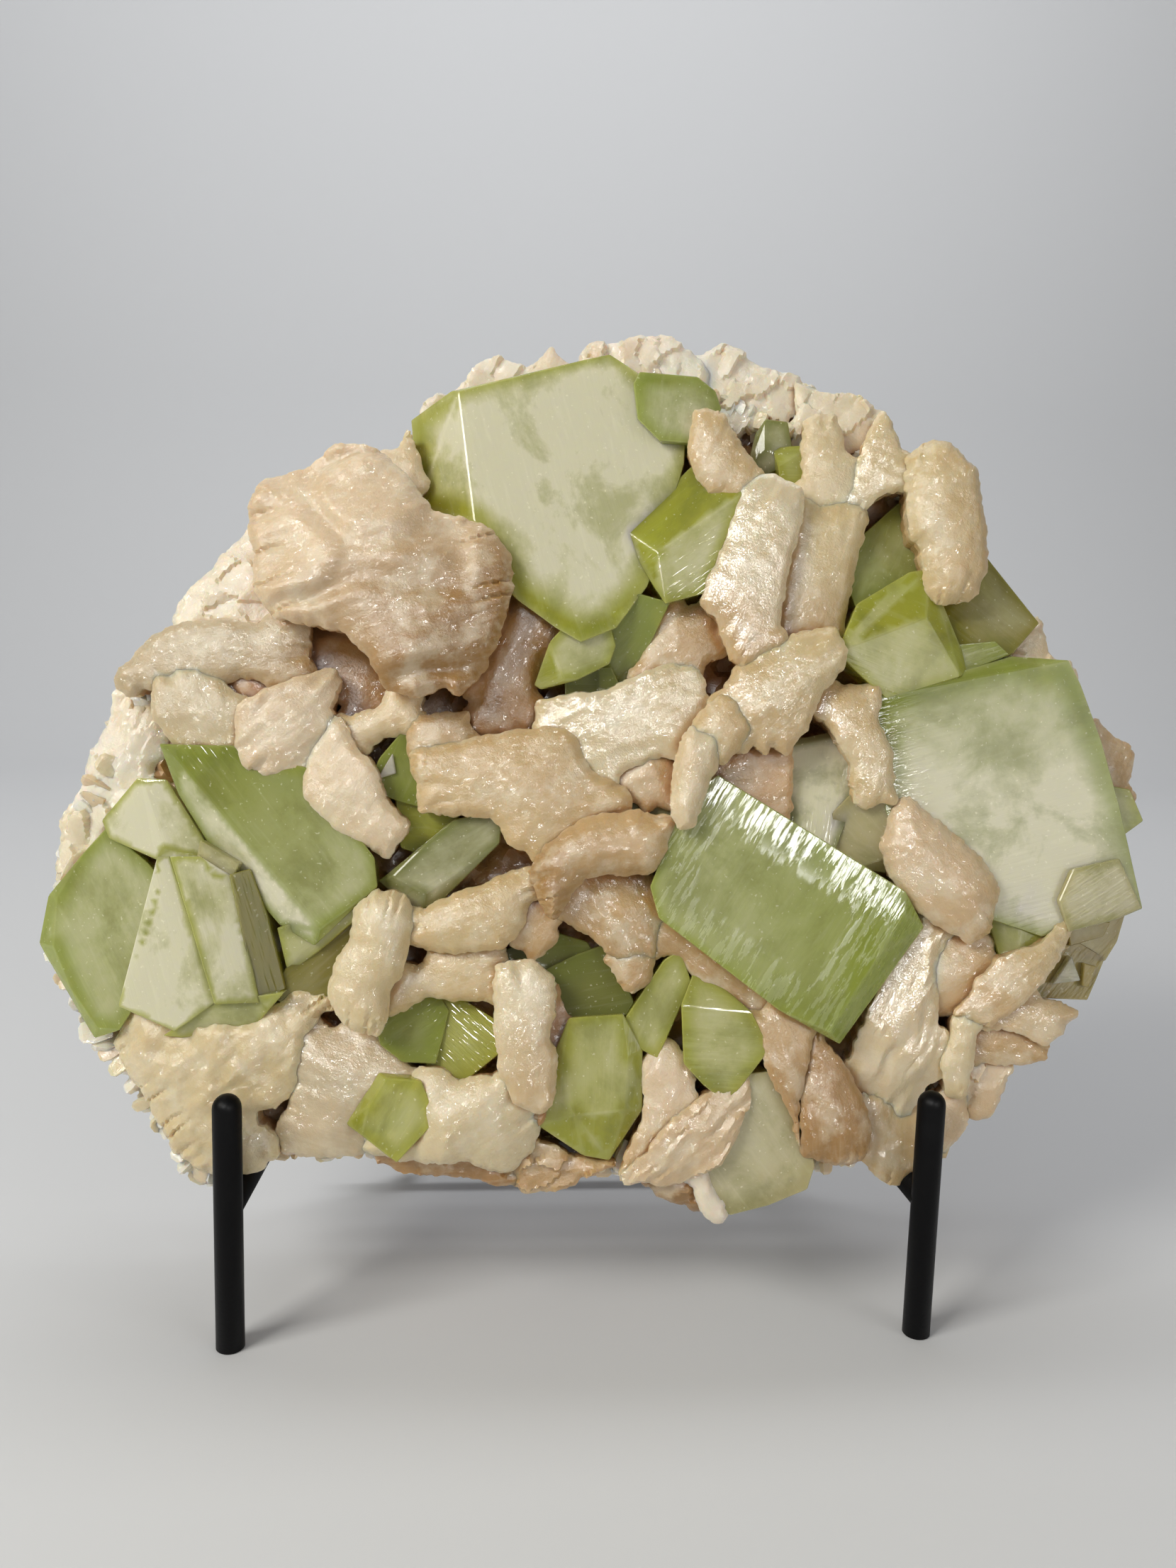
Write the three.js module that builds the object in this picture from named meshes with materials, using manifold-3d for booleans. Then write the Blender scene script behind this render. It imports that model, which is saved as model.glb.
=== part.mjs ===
// Apophyllite and stilbite crystals on basalt, leaning on a black steel rod stand.
// Millimetres, +Z up, front towards -Y, origin on the floor under the middle of the whole object.
// The constants are measured from the floor midway between the front posts.
import * as THREE from "three";
import { ConvexGeometry } from "three/addons/geometries/ConvexGeometry.js";
import { mergeVertices } from "three/addons/utils/BufferGeometryUtils.js";
import Module from "manifold-3d";

const wasm = await Module();
wasm.setup();

// Middle of the whole object, to the right of and behind the middle between the front posts.
const WHOLE_MIDDLE = [8.8, 52.6];

// Stand: front posts, arms that carry the specimen, leaning uprights, rear legs and cross bars.
const ROD_RADIUS = 4;
const BAR_RADIUS = 3;
const POST_HEIGHT = 75;
const POST_HALF_SPACING = 99.6;
const ARM_TOP = 46;
const ARM_END_Y = 73.5;
const ARM_TOE_IN = 4;
const UPRIGHT_TOP_Z = 172;
const UPRIGHT_LEAN = THREE.MathUtils.degToRad(12.5);
const UPRIGHT_TOE_IN = 10;
const LEG_OVERRUN = 1.15;
const REAR_FOOT_X = 55;
const REAR_FOOT_Y = 104;
const CROSS_BAR_HIGH_Z = 140;
const CROSS_BAR_LOW_Z = 18;
const CROSS_BAR_OVERHANG = 5;
const ROD_SIDES = 12;
const POST_CAP_STEPS = 3;

// Face frame of the specimen: x right, y up along the face, z out of the face towards the viewer.
// Outlines below are places in this frame as seen from EYE_DISTANCE in front of its centre.
const EYE_DISTANCE = 332.2;
const FACE_LEAN = THREE.MathUtils.degToRad(7.8);
const FACE_TURN = THREE.MathUtils.degToRad(4.52);
const FACE_ROLL = THREE.MathUtils.degToRad(1.55);
const FACE_CENTRE = [-1.3, 12.8, 160.9];

// The plate that the crystals stand on leans back and away from the face frame. Lifts count from it.
const PLATE_LIFT = -18;
const PLATE_PER_RIGHT = -0.079;
const PLATE_PER_UP = -0.08;

const CRUST_FRONT = -7;
const CRUST_BACK = -34;
const CRUST_TAPER = 12;
const CRYSTAL_BACK = -30;
const ROOT_WIDTH = 0.85;
const LUMP_SHOULDER = 0.35;
const MATRIX_FRONT = -34.5;
const MATRIX_BACK = -59;

// A blade's outline keeps the corners that stand out more than this from the line past them.
const OUTLINE_TOLERANCE = 2.3;
const FEWEST_CORNERS = 5;

// Pieces that touch stay this far apart, and a socket is this much larger than its crystal all round.
const TOUCH_GAP = 0.3;
const FACET_SAG = 0.12;
const BAR_STAND_OFF = 0.4;
const SOCKET_GAP = 0.55;

// The crust between the blades: the outline of the whole specimen a little way in from its rim.
const CRUST_OUTLINE = [
  [-90, 84], [-52, 93], [-30, 114], [4, 121], [22, 123], [58, 110], [84, 98], [104, 88], [109, 62],
  [134, 28], [151, -8], [151, -32], [134, -62], [110, -89], [94, -104], [40, -114], [-14, -109],
  [-88, -106.5], [-97, -111], [-107, -110.5], [-118, -98], [-147, -54], [-150, -30], [-128, 28], [-100, 60],
];

// Stilbite blades. lift: height of the middle over the plate, tilt: rise per mm to the right and up,
// grain: angle of the growth lines, roll: width of the rounded rim, depth: thickness to the back.
const BLADES = [
  { name: "rosette", lift: 21, tilt: [0.05, -0.04], grain: 15, roll: 7, depth: 30,
    outline: [[-97, 79], [-93, 87], [-79, 91], [-72, 97], [-60, 96], [-51, 88], [-44, 78], [-27, 73],
      [-21, 62], [-26, 40], [-37, 25], [-42, 27], [-47, 24], [-58, 27], [-61, 34], [-69, 43],
      [-90, 47], [-95, 57]] },
  { name: "rosette_back", lift: 2, tilt: [0, 0], grain: 70, roll: 1.5, depth: 20,
    outline: [[-58, 92], [-52.5, 97], [-51, 101], [-49, 96], [-45.5, 85], [-52, 84]] },
  { name: "rim_fan", lift: -2, tilt: [0.08, 0], grain: 35, roll: 3, depth: 18,
    outline: [[-95, 71], [-102, 67], [-106, 61], [-110, 57], [-116.5, 51], [-117, 46], [-98, 43],
      [-90, 48], [-92, 62]] },
  { name: "left_bar", lift: 6, tilt: [0.02, 0], grain: 8, roll: 4, depth: 24,
    outline: [[-134.5, 26], [-134.5, 32], [-128, 39], [-118, 47], [-100, 47], [-85, 45.5], [-79, 42],
      [-78.5, 33], [-96, 30], [-113, 33], [-121, 31], [-122, 24], [-126, 19]] },
  { name: "left_block", lift: 8, tilt: [0.03, 0], grain: 20, roll: 4, depth: 24,
    outline: [[-123.5, 31], [-121, 33.5], [-112, 32.5], [-105, 28.5], [-99.5, 22], [-100, 11.5],
      [-105, 8], [-118, 9], [-124, 16], [-122, 24]] },
  { name: "left_middle", lift: 9, tilt: [0, 0.03], grain: 30, roll: 4, depth: 24,
    outline: [[-100, 14], [-98.5, 22], [-91, 25], [-78, 33.5], [-72.5, 34], [-70.5, 29], [-76.5, 16],
      [-81, 6], [-87, 2], [-97, 3], [-99.5, 9]] },
  { name: "shadowed_blade", lift: -3, tilt: [0, -0.1], grain: 40, roll: 2, depth: 18,
    outline: [[-84, 46], [-69, 45], [-60, 36], [-58, 26], [-68, 18], [-73, 32], [-80, 32]] },
  { name: "hanging", lift: 11, tilt: [0.03, 0.02], grain: 55, roll: 5, depth: 28,
    outline: [[-74.5, 20], [-69.5, 19], [-66.5, 12], [-60, 5], [-57, -4], [-50, -12], [-57, -22.5],
      [-62, -18], [-72, -13], [-81, -4], [-82, 2], [-80, 9]] },
  { name: "small_rod", lift: 6, tilt: [0, 0], grain: 28, roll: 3, depth: 20,
    outline: [[-69.5, 19], [-56, 25], [-48, 25], [-46.5, 20], [-51, 15], [-55, 12], [-65, 10]] },
  { name: "knob", lift: 8, tilt: [0, 0], grain: 20, roll: 4, depth: 20,
    outline: [[-51.5, 9], [-50, 17], [-40, 21], [-33, 21], [-31, 12], [-42, 8]] },
  { name: "long_middle", lift: 12, tilt: [-0.02, -0.02], grain: 12, roll: 5, depth: 30,
    outline: [[-51, 9], [-40, 12], [-30, 12.5], [-20, 15], [-10, 17], [-4, 16], [1, 9], [5, 1.5],
      [12, -1], [13, -4], [9, -8.5], [-3, -11], [-16, -20], [-22, -19.5], [-30, -10], [-44, -9],
      [-49, -6]] },
  { name: "sparkling_bar", lift: 9, tilt: [0, 0.03], grain: 25, roll: 4, depth: 26,
    outline: [[-15, 22.5], [0, 25.5], [9.5, 28], [25, 35], [31, 31.5], [34, 28], [25, 12], [10, 5],
      [5, 1.5], [0, 6], [-4, 15], [-15, 17]] },
  { name: "under_top", lift: 5, tilt: [0, 0.03], grain: 65, roll: 4, depth: 22,
    outline: [[-21, 49], [-16, 53], [-8, 53], [-5, 50], [-6, 44], [-14, 32], [-15, 17], [-20, 14.5],
      [-29, 13], [-33, 21], [-33, 27], [-27, 37]] },
  { name: "glossy_diagonal", lift: 15, tilt: [0, 0.02], grain: 66, roll: 3, depth: 28,
    outline: [[43, 85.5], [52, 89], [62, 83], [61, 75], [57, 62], [54, 42], [47, 38.5], [40, 35],
      [36, 47], [31.5, 50], [32, 55.5], [38, 68]] },
  { name: "top_wedge", lift: 13, tilt: [0, 0], grain: 70, roll: 3, depth: 24,
    outline: [[30, 106], [38, 106], [41, 101], [44, 95], [49, 88.5], [41, 81], [35, 82], [31.5, 85],
      [28, 93]] },
  { name: "top_right_blade", lift: 6, tilt: [0, 0], grain: 75, roll: 3, depth: 22,
    outline: [[60.5, 102.5], [64, 105], [69, 105.5], [71.5, 101], [74, 89], [73.5, 81], [62, 80],
      [60, 92]] },
  { name: "gloss_edge", lift: 7, tilt: [0, 0], grain: 80, roll: 2.5, depth: 22,
    outline: [[75, 90], [80, 101], [83, 106.5], [85.5, 103], [88.5, 94.5], [90, 90], [89, 84], [80, 80],
      [74, 80.5]] },
  { name: "tall_right", lift: 13, tilt: [0, 0], grain: 82, roll: 4, depth: 28,
    outline: [[90, 92.5], [96, 98], [102, 96.7], [109.5, 90], [113, 72], [113.5, 62], [110, 52.5],
      [98.5, 50.5], [95, 56], [94, 67], [90, 70.5]] },
  { name: "behind_diagonal", lift: 8, tilt: [0, 0], grain: 72, roll: 3, depth: 24,
    outline: [[62, 79], [73.5, 81.5], [80, 77], [77, 66], [74.5, 54.5], [72.5, 44], [63, 43],
      [57, 41], [56.5, 55], [59, 69]] },
  { name: "small_slope", lift: 7, tilt: [0, 0], grain: 35, roll: 3, depth: 22,
    outline: [[22, 49.5], [31.5, 50.5], [36, 46], [37, 36], [30, 32], [25, 35], [19, 33], [12, 31],
      [15.5, 38]] },
  { name: "centre_right", lift: 16, tilt: [0, 0], grain: 28, roll: 5, depth: 30,
    outline: [[37, 24], [41, 31.5], [47, 37], [54, 40], [63, 44.5], [69, 45], [73, 40], [75, 31],
      [65.5, 20.5], [62, 12], [55, 8], [45, 7], [40, 10], [36, 18]] },
  { name: "stained_recess", lift: 4, tilt: [0, 0], grain: 20, roll: 2, depth: 16,
    outline: [[37, 8], [45, 10], [56, 10], [56, 1], [47, -5], [37, 0]] },
  { name: "centre_lobe", lift: 17, tilt: [0, 0], grain: 60, roll: 3, depth: 24,
    outline: [[30.5, 17.5], [35.5, 24.5], [40, 25], [44.5, 19.5], [45, 12], [44, 8], [38, 5.5],
      [35, 12]] },
  { name: "right_of_centre", lift: 12, tilt: [0.02, 0], grain: 70, roll: 4, depth: 26,
    outline: [[65.5, 20.5], [71, 28.5], [76.5, 29.5], [83, 28.5], [84, 24], [82, 21], [86, 11],
      [87, 4], [86.5, -3], [80, -8], [75, -6], [74.5, 4], [67, 15]] },
  { name: "narrow_upright", lift: 18, tilt: [0, 0], grain: 80, roll: 3, depth: 26,
    outline: [[27.5, 15], [30.5, 17.5], [35.5, 15], [37.5, 3], [33, -4], [31, -12], [26, -14],
      [23, -6], [25.5, 5]] },
  { name: "peach_oval", lift: 13, tilt: [-0.02, 0.03], grain: 130, roll: 7, depth: 28,
    outline: [[84, -8], [90, -3], [95, -6], [105, -12], [114, -20.5], [117.5, -31], [114, -40],
      [109, -45.5], [102, -42], [94, -39], [87, -31], [84, -24], [83, -16]] },
  { name: "arch", lift: 16, tilt: [0, 0], grain: 15, roll: 5, depth: 28,
    outline: [[-15.5, -21], [-10, -16], [-3.5, -10.5], [7, -8], [17, -8], [23, -12.5], [24, -16],
      [19, -25], [8, -26], [-1, -27], [-4, -31], [-10, -38], [-16, -27]] },
  { name: "arch_foot", lift: 8, tilt: [0, 0], grain: 120, roll: 3, depth: 22,
    outline: [[-9, -37], [-3, -28], [6, -24], [14, -26], [20, -31], [20, -48], [15, -54], [8, -50],
      [0, -43]] },
  { name: "peach_pebble", lift: 6, tilt: [0, 0], grain: 50, roll: 3, depth: 20,
    outline: [[5, -50], [13, -48], [19, -53], [18, -56], [12.5, -60], [9.5, -58]] },
  { name: "under_large", lift: 5, tilt: [0, 0], grain: 140, roll: 2, depth: 20,
    outline: [[17, -33], [25, -38], [34, -47], [45, -57], [46, -66], [34, -58], [24, -48], [18, -49]] },
  { name: "left_of_arch", lift: 11, tilt: [0, 0], grain: 20, roll: 5, depth: 28,
    outline: [[-48, -37], [-39, -31.5], [-26, -23], [-17, -24.5], [-11, -31], [-9.5, -37], [-18, -43],
      [-29, -47], [-47, -47.5], [-49.5, -42]] },
  { name: "pillar", lift: 13, tilt: [0, 0], grain: 80, roll: 4, depth: 28,
    outline: [[-66, -33.5], [-61, -29.5], [-54, -30], [-50, -32], [-49, -38], [-51.5, -49], [-56, -60],
      [-57.5, -69], [-62, -72], [-70, -68], [-73.5, -60], [-71, -49], [-68, -44]] },
  { name: "shelf", lift: 6, tilt: [0, 0], grain: 18, roll: 3, depth: 24,
    outline: [[-56, -65], [-54, -59], [-49, -53], [-39, -48], [-27, -48], [-24, -54], [-27, -60],
      [-35, -62], [-46, -60], [-52, -65]] },
  { name: "upright_block", lift: 12, tilt: [0, 0], grain: 85, roll: 4, depth: 30,
    outline: [[-27, -51], [-20, -50], [-12, -52], [-8.5, -58], [-9, -66], [-10, -75], [-8.5, -83],
      [-12, -87], [-22, -86], [-26, -80], [-28, -64]] },
  { name: "stained_side", lift: 4, tilt: [0, 0], grain: 88, roll: 2, depth: 22,
    outline: [[-10, -58], [-6, -63], [-5, -74], [-6, -80], [-8, -88], [-12, -96], [-20, -90],
      [-12, -80]] },
  { name: "bright_dome", lift: 10, tilt: [0, 0.02], grain: 30, roll: 6, depth: 30,
    outline: [[-52, -80], [-44, -80], [-37, -84], [-29, -82.5], [-22, -84.5], [-17, -92], [-13, -98],
      [-16, -105], [-21, -111], [-25, -111], [-34, -108], [-50, -108], [-66, -106], [-66, -101],
      [-52, -98]] },
  { name: "brown_lip", lift: 1, tilt: [0, 0.1], grain: 5, roll: 2, depth: 22,
    outline: [[-58, -105], [-20, -104], [-15, -104], [-18, -113], [-24, -114], [-34, -111.5],
      [-55, -110]] },
  { name: "clear_blade", lift: 4, tilt: [0, 0], grain: 165, roll: 3, depth: 24,
    outline: [[-82, -69], [-64, -70.5], [-54, -76], [-50, -81], [-52, -88], [-64, -98], [-67, -107],
      [-78, -107], [-88, -106], [-90, -96], [-83, -86]] },
  { name: "lower_left", lift: 4, tilt: [0.02, 0.12], grain: 40, roll: 4, depth: 34,
    outline: [[-137.5, -75], [-134, -68], [-119, -72], [-104, -70], [-93, -64], [-83.5, -59],
      [-76, -59], [-71, -64], [-70, -70], [-82, -74], [-82, -85], [-89, -92], [-91, -108],
      [-97.5, -110.5], [-109.5, -110.5], [-119, -106], [-122, -99], [-128, -88], [-137, -78]] },
  { name: "peach_upright", lift: 6, tilt: [0, 0.05], grain: 75, roll: 3, depth: 26,
    outline: [[24, -71], [26, -78], [30, -81], [30.5, -88], [22, -97], [15, -107], [9.5, -113],
      [9.5, -106], [15, -94], [15.5, -80], [19, -73]] },
  { name: "fibrous_fan", lift: 8, tilt: [0, 0.08], grain: 40, roll: 2, depth: 28,
    outline: [[12, -114.5], [16, -106], [24, -95], [35, -88], [44, -83], [47, -84], [45, -92],
      [41, -101], [33, -109], [30, -112], [18, -115]] },
  { name: "brown_scallop", lift: 1, tilt: [0, 0.1], grain: 20, roll: 2, depth: 20,
    outline: [[18, -112], [31, -110], [31, -119.5], [24, -118.5], [19, -116.5]] },
  { name: "white_lobe", lift: 3, tilt: [0, 0.05], grain: 110, roll: 2.5, depth: 24,
    outline: [[29, -110], [33, -109], [36, -114], [40, -120], [38.5, -124.5], [35.5, -124.5],
      [31, -121]] },
  { name: "tan_left_face", lift: 8, tilt: [0, 0], grain: 110, roll: 2.5, depth: 28,
    outline: [[45, -64], [55, -64.5], [64, -70], [62, -80], [60, -90], [60, -104], [57, -93],
      [52, -85], [49, -76]] },
  { name: "tan_right_face", lift: 8, tilt: [0, 0.04], grain: 95, roll: 3, depth: 28,
    outline: [[63, -70], [69, -73.5], [74, -84], [79.5, -91], [79.5, -106], [76, -108.5], [68, -108.5],
      [61, -106], [59, -100], [60, -86]] },
  { name: "gloss_striped", lift: 7, tilt: [-0.05, 0.09], grain: 72, roll: 4, depth: 30,
    outline: [[75, -73], [82, -57.5], [90.5, -48], [95, -41.5], [102, -37], [104, -40], [109, -46],
      [109, -54], [106, -62], [101, -66], [100, -84], [97, -97], [90, -99], [84, -94], [77.5, -86]] },
  { name: "right_foot", lift: 0, tilt: [-0.08, 0.05], grain: 85, roll: 3, depth: 26,
    outline: [[79, -90], [98, -92], [99, -104], [91, -111], [88, -114], [85, -114], [80, -109.5]] },
  { name: "cream_column", lift: 6, tilt: [0, 0.05], grain: 80, roll: 3, depth: 28,
    outline: [[104, -65.5], [110, -68.5], [110, -75], [108, -83], [106.5, -90], [101.5, -90],
      [99.5, -83], [100, -74]] },
  { name: "peach_corner", lift: 1, tilt: [-0.03, 0.06], grain: 60, roll: 2.5, depth: 24,
    outline: [[98, -88], [107, -88], [108, -96.5], [104.5, -101.5], [99, -107], [97, -98]] },
  { name: "right_band", lift: 11, tilt: [-0.04, 0], grain: 42, roll: 4, depth: 28,
    outline: [[139, -40], [130, -40], [121, -47.5], [111, -55.5], [104, -65.5], [110, -68.5],
      [115, -68], [126, -59.5], [134, -51], [139.5, -43]] },
  { name: "right_lower_band", lift: 5, tilt: [-0.05, 0], grain: 15, roll: 3, depth: 24,
    outline: [[115, -68], [119, -60.5], [134, -60], [140, -62], [141, -65], [134.5, -68.5],
      [130, -74], [122, -71.5], [111, -70]] },
  { name: "brown_corner", lift: 1, tilt: [-0.05, 0], grain: 165, roll: 2.5, depth: 22,
    outline: [[109, -68], [122, -70], [130, -74], [130, -77], [123, -80], [108, -80]] },
  { name: "pink_corner", lift: -1, tilt: [-0.05, 0.05], grain: 60, roll: 2.5, depth: 20,
    outline: [[107, -78], [120, -79], [119.5, -83], [118, -88], [113, -93], [110, -96], [106, -94]] },
  { name: "rim_top_left", lift: -6, tilt: [0, 0], grain: 60, roll: 2, depth: 20,
    outline: [[-45, 104], [-38, 111], [-30.5, 119.5], [-25.5, 121.5], [-20, 118.5], [-12, 117.5],
      [-6, 112], [-30, 100]] },
  { name: "rim_spike", lift: -5, tilt: [0, 0], grain: 70, roll: 1.5, depth: 16,
    outline: [[-16, 116], [-14.5, 119.5], [-10, 124.5], [-7, 119], [-7, 113], [-14, 112]] },
  { name: "rim_top_middle", lift: -5, tilt: [0, 0], grain: 80, roll: 2.5, depth: 22,
    outline: [[-6, 113], [-4, 120], [0, 126.5], [12, 128.5], [22, 129.5], [30, 123], [36, 116],
      [30, 108], [0, 108]] },
  { name: "rim_top_right", lift: -7, tilt: [0, 0], grain: 60, roll: 2.5, depth: 20,
    outline: [[30, 120], [38.5, 124.5], [44.5, 122], [47, 119], [60.5, 115], [62, 104], [50, 103],
      [44, 100], [36, 104]] },
  { name: "rim_right_shoulder", lift: -4, tilt: [0, 0], grain: 60, roll: 2.5, depth: 20,
    outline: [[58, 115], [67.5, 110], [75.5, 111], [81.5, 105.5], [80, 90], [70, 86], [60, 96]] },
  { name: "rim_behind_block", lift: -5, tilt: [0, 0], grain: 30, roll: 2, depth: 18,
    outline: [[120, 36], [127, 45.5], [131, 36], [136, 30], [128, 26]] },
  { name: "rim_tan", lift: -6, tilt: [0, 0], grain: 60, roll: 2, depth: 18,
    outline: [[143, 18], [150.5, 13], [156, 11.5], [157.5, 5.5], [155, 0], [150, -6], [142, 2]] },
  { name: "rim_rough_left", lift: -6, tilt: [0.05, 0], grain: 70, roll: 2.5, depth: 20,
    outline: [[-134, 27], [-138, 17.5], [-143, 8], [-145.5, -3], [-150, -8], [-153, -28],
      [-143, -24], [-134, -10], [-122, 6], [-121, 20]] },
];

// Apophyllite crystals. front: corners of the flat front face. lift and tilt: of that face over the
// plate, as for the blades. rim: corners of the side faces, with their drop behind the front face.
const CRYSTALS = {
  apophyllite_top: [
    { lift: 8, tilt: [0, -0.1],
      front: [[-36.8, 109.5], [-0.2, 120.4], [11.6, 117.6], [15.9, 59.2], [12.1, 50.9], [3.8, 41],
        [-8, 44], [-20, 52], [-28, 74.5]],
      rim: [[-47.7, 104.2, 9], [-49.9, 100, 10], [-44.5, 78, 10]] },
    { lift: 5, tilt: [-0.1, -0.08],
      front: [[12.5, 90], [13, 115], [15.5, 116.3], [30.6, 116], [36.4, 110.9], [36.4, 106],
        [29.3, 90.1], [13, 79]],
      rim: [] },
    { lift: 13, tilt: [0, 0],
      front: [[20, 66], [40.8, 78.5], [33.8, 61], [31, 55.5], [22.3, 50.6]],
      rim: [[10.2, 71.6, 6], [29.3, 90.3, 6], [40.8, 81, 4], [18.5, 54, 4], [13.7, 64.3, 6]] },
    { lift: 6, tilt: [0.1, 0.35],
      front: [[12, 49.5], [14.3, 53.8], [22.3, 50.6], [18, 43], [12, 31], [6, 31], [3.8, 41]],
      rim: [] },
    { lift: 9, tilt: [0, 0.1],
      front: [[-10, 40.4], [-4.7, 44.3], [3.5, 41], [6.7, 34.7], [-5.4, 29]],
      rim: [[-15.3, 28.3, 6], [-12.4, 25.6, 6], [-1, 25.4, 6], [7, 28, 5]] },
  ],
  apophyllite_rim_prism: [
    { lift: -1, tilt: [0, 0], front: [[50.1, 103], [56.4, 102.3], [56.4, 92.4], [50.1, 94.3]],
      rim: [[47.3, 99, 3], [47.3, 91.7, 3], [50.1, 89.2, 3]] },
    { lift: 2, tilt: [0, 0], front: [[53.6, 89.8], [60.9, 93.6], [60, 85.4], [55.5, 86.6]],
      rim: [[52, 95, 4]] },
  ],
  apophyllite_upper_block: [
    { lift: 1, tilt: [-0.1, -0.2],
      front: [[89.8, 79.5], [79.6, 69], [75.1, 61.3], [75.5, 50], [90.4, 58], [95.2, 56.2],
        [94.2, 67.1]],
      rim: [] },
    { lift: 10, tilt: [0, 0],
      front: [[73.5, 37.5], [92.3, 47.3], [104.8, 31], [84.5, 25], [76.4, 30.5]],
      rim: [[75, 51, 9], [91, 60, 9], [97.5, 55, 9], [108.9, 32.9, 6]] },
    { lift: 2, tilt: [-0.1, -0.15],
      front: [[98.7, 50.6], [113, 60.2], [119.7, 54.3], [127.4, 45.4], [119.7, 36.5], [104.8, 32]],
      rim: [] },
  ],
  apophyllite_right_block: [
    { lift: 6, tilt: [-0.05, 0.02],
      front: [[83.5, 23.4], [130.6, 34.9], [136, 35], [140.2, 27.2], [146.5, 8.8], [158.2, -35.3],
        [149, -38.4], [128, -42], [100, -30], [84, -8]],
      rim: [[120, 36.2, 4]] },
    { lift: 5, tilt: [0, 0],
      front: [[125.5, -27], [120, -34], [116.2, -39], [117, -48], [124.2, -48], [130.5, -40.4],
        [129, -32]],
      rim: [] },
    { lift: -2, tilt: [-0.1, 0], front: [[143, -1.5], [154.5, -1.5], [159.3, -10.4], [146, -16]],
      rim: [] },
  ],
  apophyllite_centre: [
    { lift: 12, tilt: [0, 0],
      front: [[37.3, 1.5], [87.4, -31], [89.5, -36.5], [76.5, -55], [70, -73], [54, -64], [20, -38],
        [17.5, -29], [30, -6]],
      rim: [[94.9, -40.4, 4], [71.5, -73.5, 3]] },
    { lift: 2, tilt: [0, 0],
      front: [[9.6, -8.4], [12.8, -4.2], [20.4, -2.6], [31, -5], [31, -13], [15, -14]],
      rim: [] },
  ],
  apophyllite_shaded: [
    { lift: 3, tilt: [0, -0.1],
      front: [[55.2, 9.2], [71.4, 11.9], [75, 3], [74, -6], [69, -17.6], [57, -12], [54, -4.8]],
      rim: [] },
    { lift: 5, tilt: [0, 0],
      front: [[70.2, -10], [74.6, -6.8], [80, -8.7], [84.2, -28.4], [69, -18]],
      rim: [] },
  ],
  apophyllite_inner: [
    { lift: 4, tilt: [0, 0],
      front: [[-52, 14], [-59.6, 8.5], [-58.6, 1.5], [-52.6, -5.2], [-47, -5], [-46, 8]],
      rim: [] },
    { lift: 2, tilt: [0, 0], front: [[-53, 0], [-44, -4], [-36, -10], [-44, -18], [-53, -18]],
      rim: [] },
    { lift: 6, tilt: [0, 0],
      front: [[-48, -21], [-38.5, -11.2], [-27, -9.3], [-24.5, -20.8], [-46, -34], [-57.7, -26.5]],
      rim: [] },
  ],
  apophyllite_left: [
    { lift: 7, tilt: [0.02, 0],
      front: [[-118, 9.5], [-100, 11], [-84, 3], [-57.5, -25], [-66, -33], [-76, -40]],
      rim: [[-121, 8, 3], [-111.5, -7.4, 6], [-86.7, -40.6, 6], [-77, -45.7, 5]] },
    { lift: 3, tilt: [0.02, 0], front: [[-125.6, 0], [-112, 3], [-102, -19], [-119.2, -19]],
      rim: [[-127.5, 2.2, 3], [-137.7, -9.3, 5], [-136.4, -14.4, 5], [-123, -24, 3]] },
    { lift: -1, tilt: [0.12, 0],
      front: [[-138.3, -15.1], [-118, -18], [-112, -30], [-118, -46], [-128, -64], [-139, -72.7],
        [-147, -64], [-155.4, -50], [-155, -38], [-150.4, -26.5]],
      rim: [] },
    { lift: 7, tilt: [0, 0],
      front: [[-115.4, -30], [-100, -30], [-92.4, -61.9], [-105.2, -63.2]],
      rim: [[-118.5, -22, 2], [-98.8, -24.6, 1], [-121, -32, 3], [-129, -57, 5], [-130, -64, 5],
        [-119, -73, 3], [-91, -32, 6], [-87, -40, 7], [-84, -61, 7]] },
    { lift: 2, tilt: [0, 0.1],
      front: [[-87, -42], [-67, -36], [-68.2, -44.7], [-73.6, -62], [-80, -61], [-86, -53]],
      rim: [] },
  ],
  apophyllite_broken: [
    { lift: 0, tilt: [0, -0.12],
      front: [[-57.7, -67.6], [-45.2, -59.5], [-35.4, -62.5], [-27.7, -68.3], [-27, -74.6],
        [-38.5, -83.9], [-48, -81], [-55.4, -74]],
      rim: [] },
  ],
  apophyllite_wedge: [
    { lift: 8, tilt: [0.1, 0],
      front: [[-62, -91], [-57, -83], [-50, -86], [-43.6, -94.4], [-54.5, -104.6], [-64, -99]],
      rim: [[-68.6, -95.7, 4], [-59, -81.5, 3]] },
  ],
  apophyllite_column: [
    { lift: 0, tilt: [0, -0.1],
      front: [[-10, -52.3], [1.6, -47.9], [6.7, -53.6], [11.8, -60], [9.9, -66], [-5, -68],
        [-9, -60.6]],
      rim: [] },
    { lift: -3, tilt: [0, 0], front: [[-24, -48.5], [-12.4, -45.3], [-4, -45], [-3, -52], [-20, -52.5]],
      rim: [] },
    { lift: 6, tilt: [0, 0], front: [[-1.5, -68], [10, -68], [11, -91], [-1, -91]],
      rim: [[-5.4, -65.7, 4], [9.3, -64.4, 2], [15.7, -81, 3], [15.3, -94.4, 3], [9.3, -105.6, 6],
        [-0.3, -105.2, 6], [-12.4, -95, 6]] },
  ],
  apophyllite_lower_block: [
    { lift: 3, tilt: [0, 0],
      front: [[11.5, -64.8], [21, -49.8], [25.5, -49.8], [30, -56], [26, -68], [15.9, -76.6]],
      rim: [] },
    { lift: 7, tilt: [0, 0.05],
      front: [[26, -61], [33, -56.5], [45.3, -64.8], [47, -73], [35.4, -86], [27, -79]],
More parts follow.
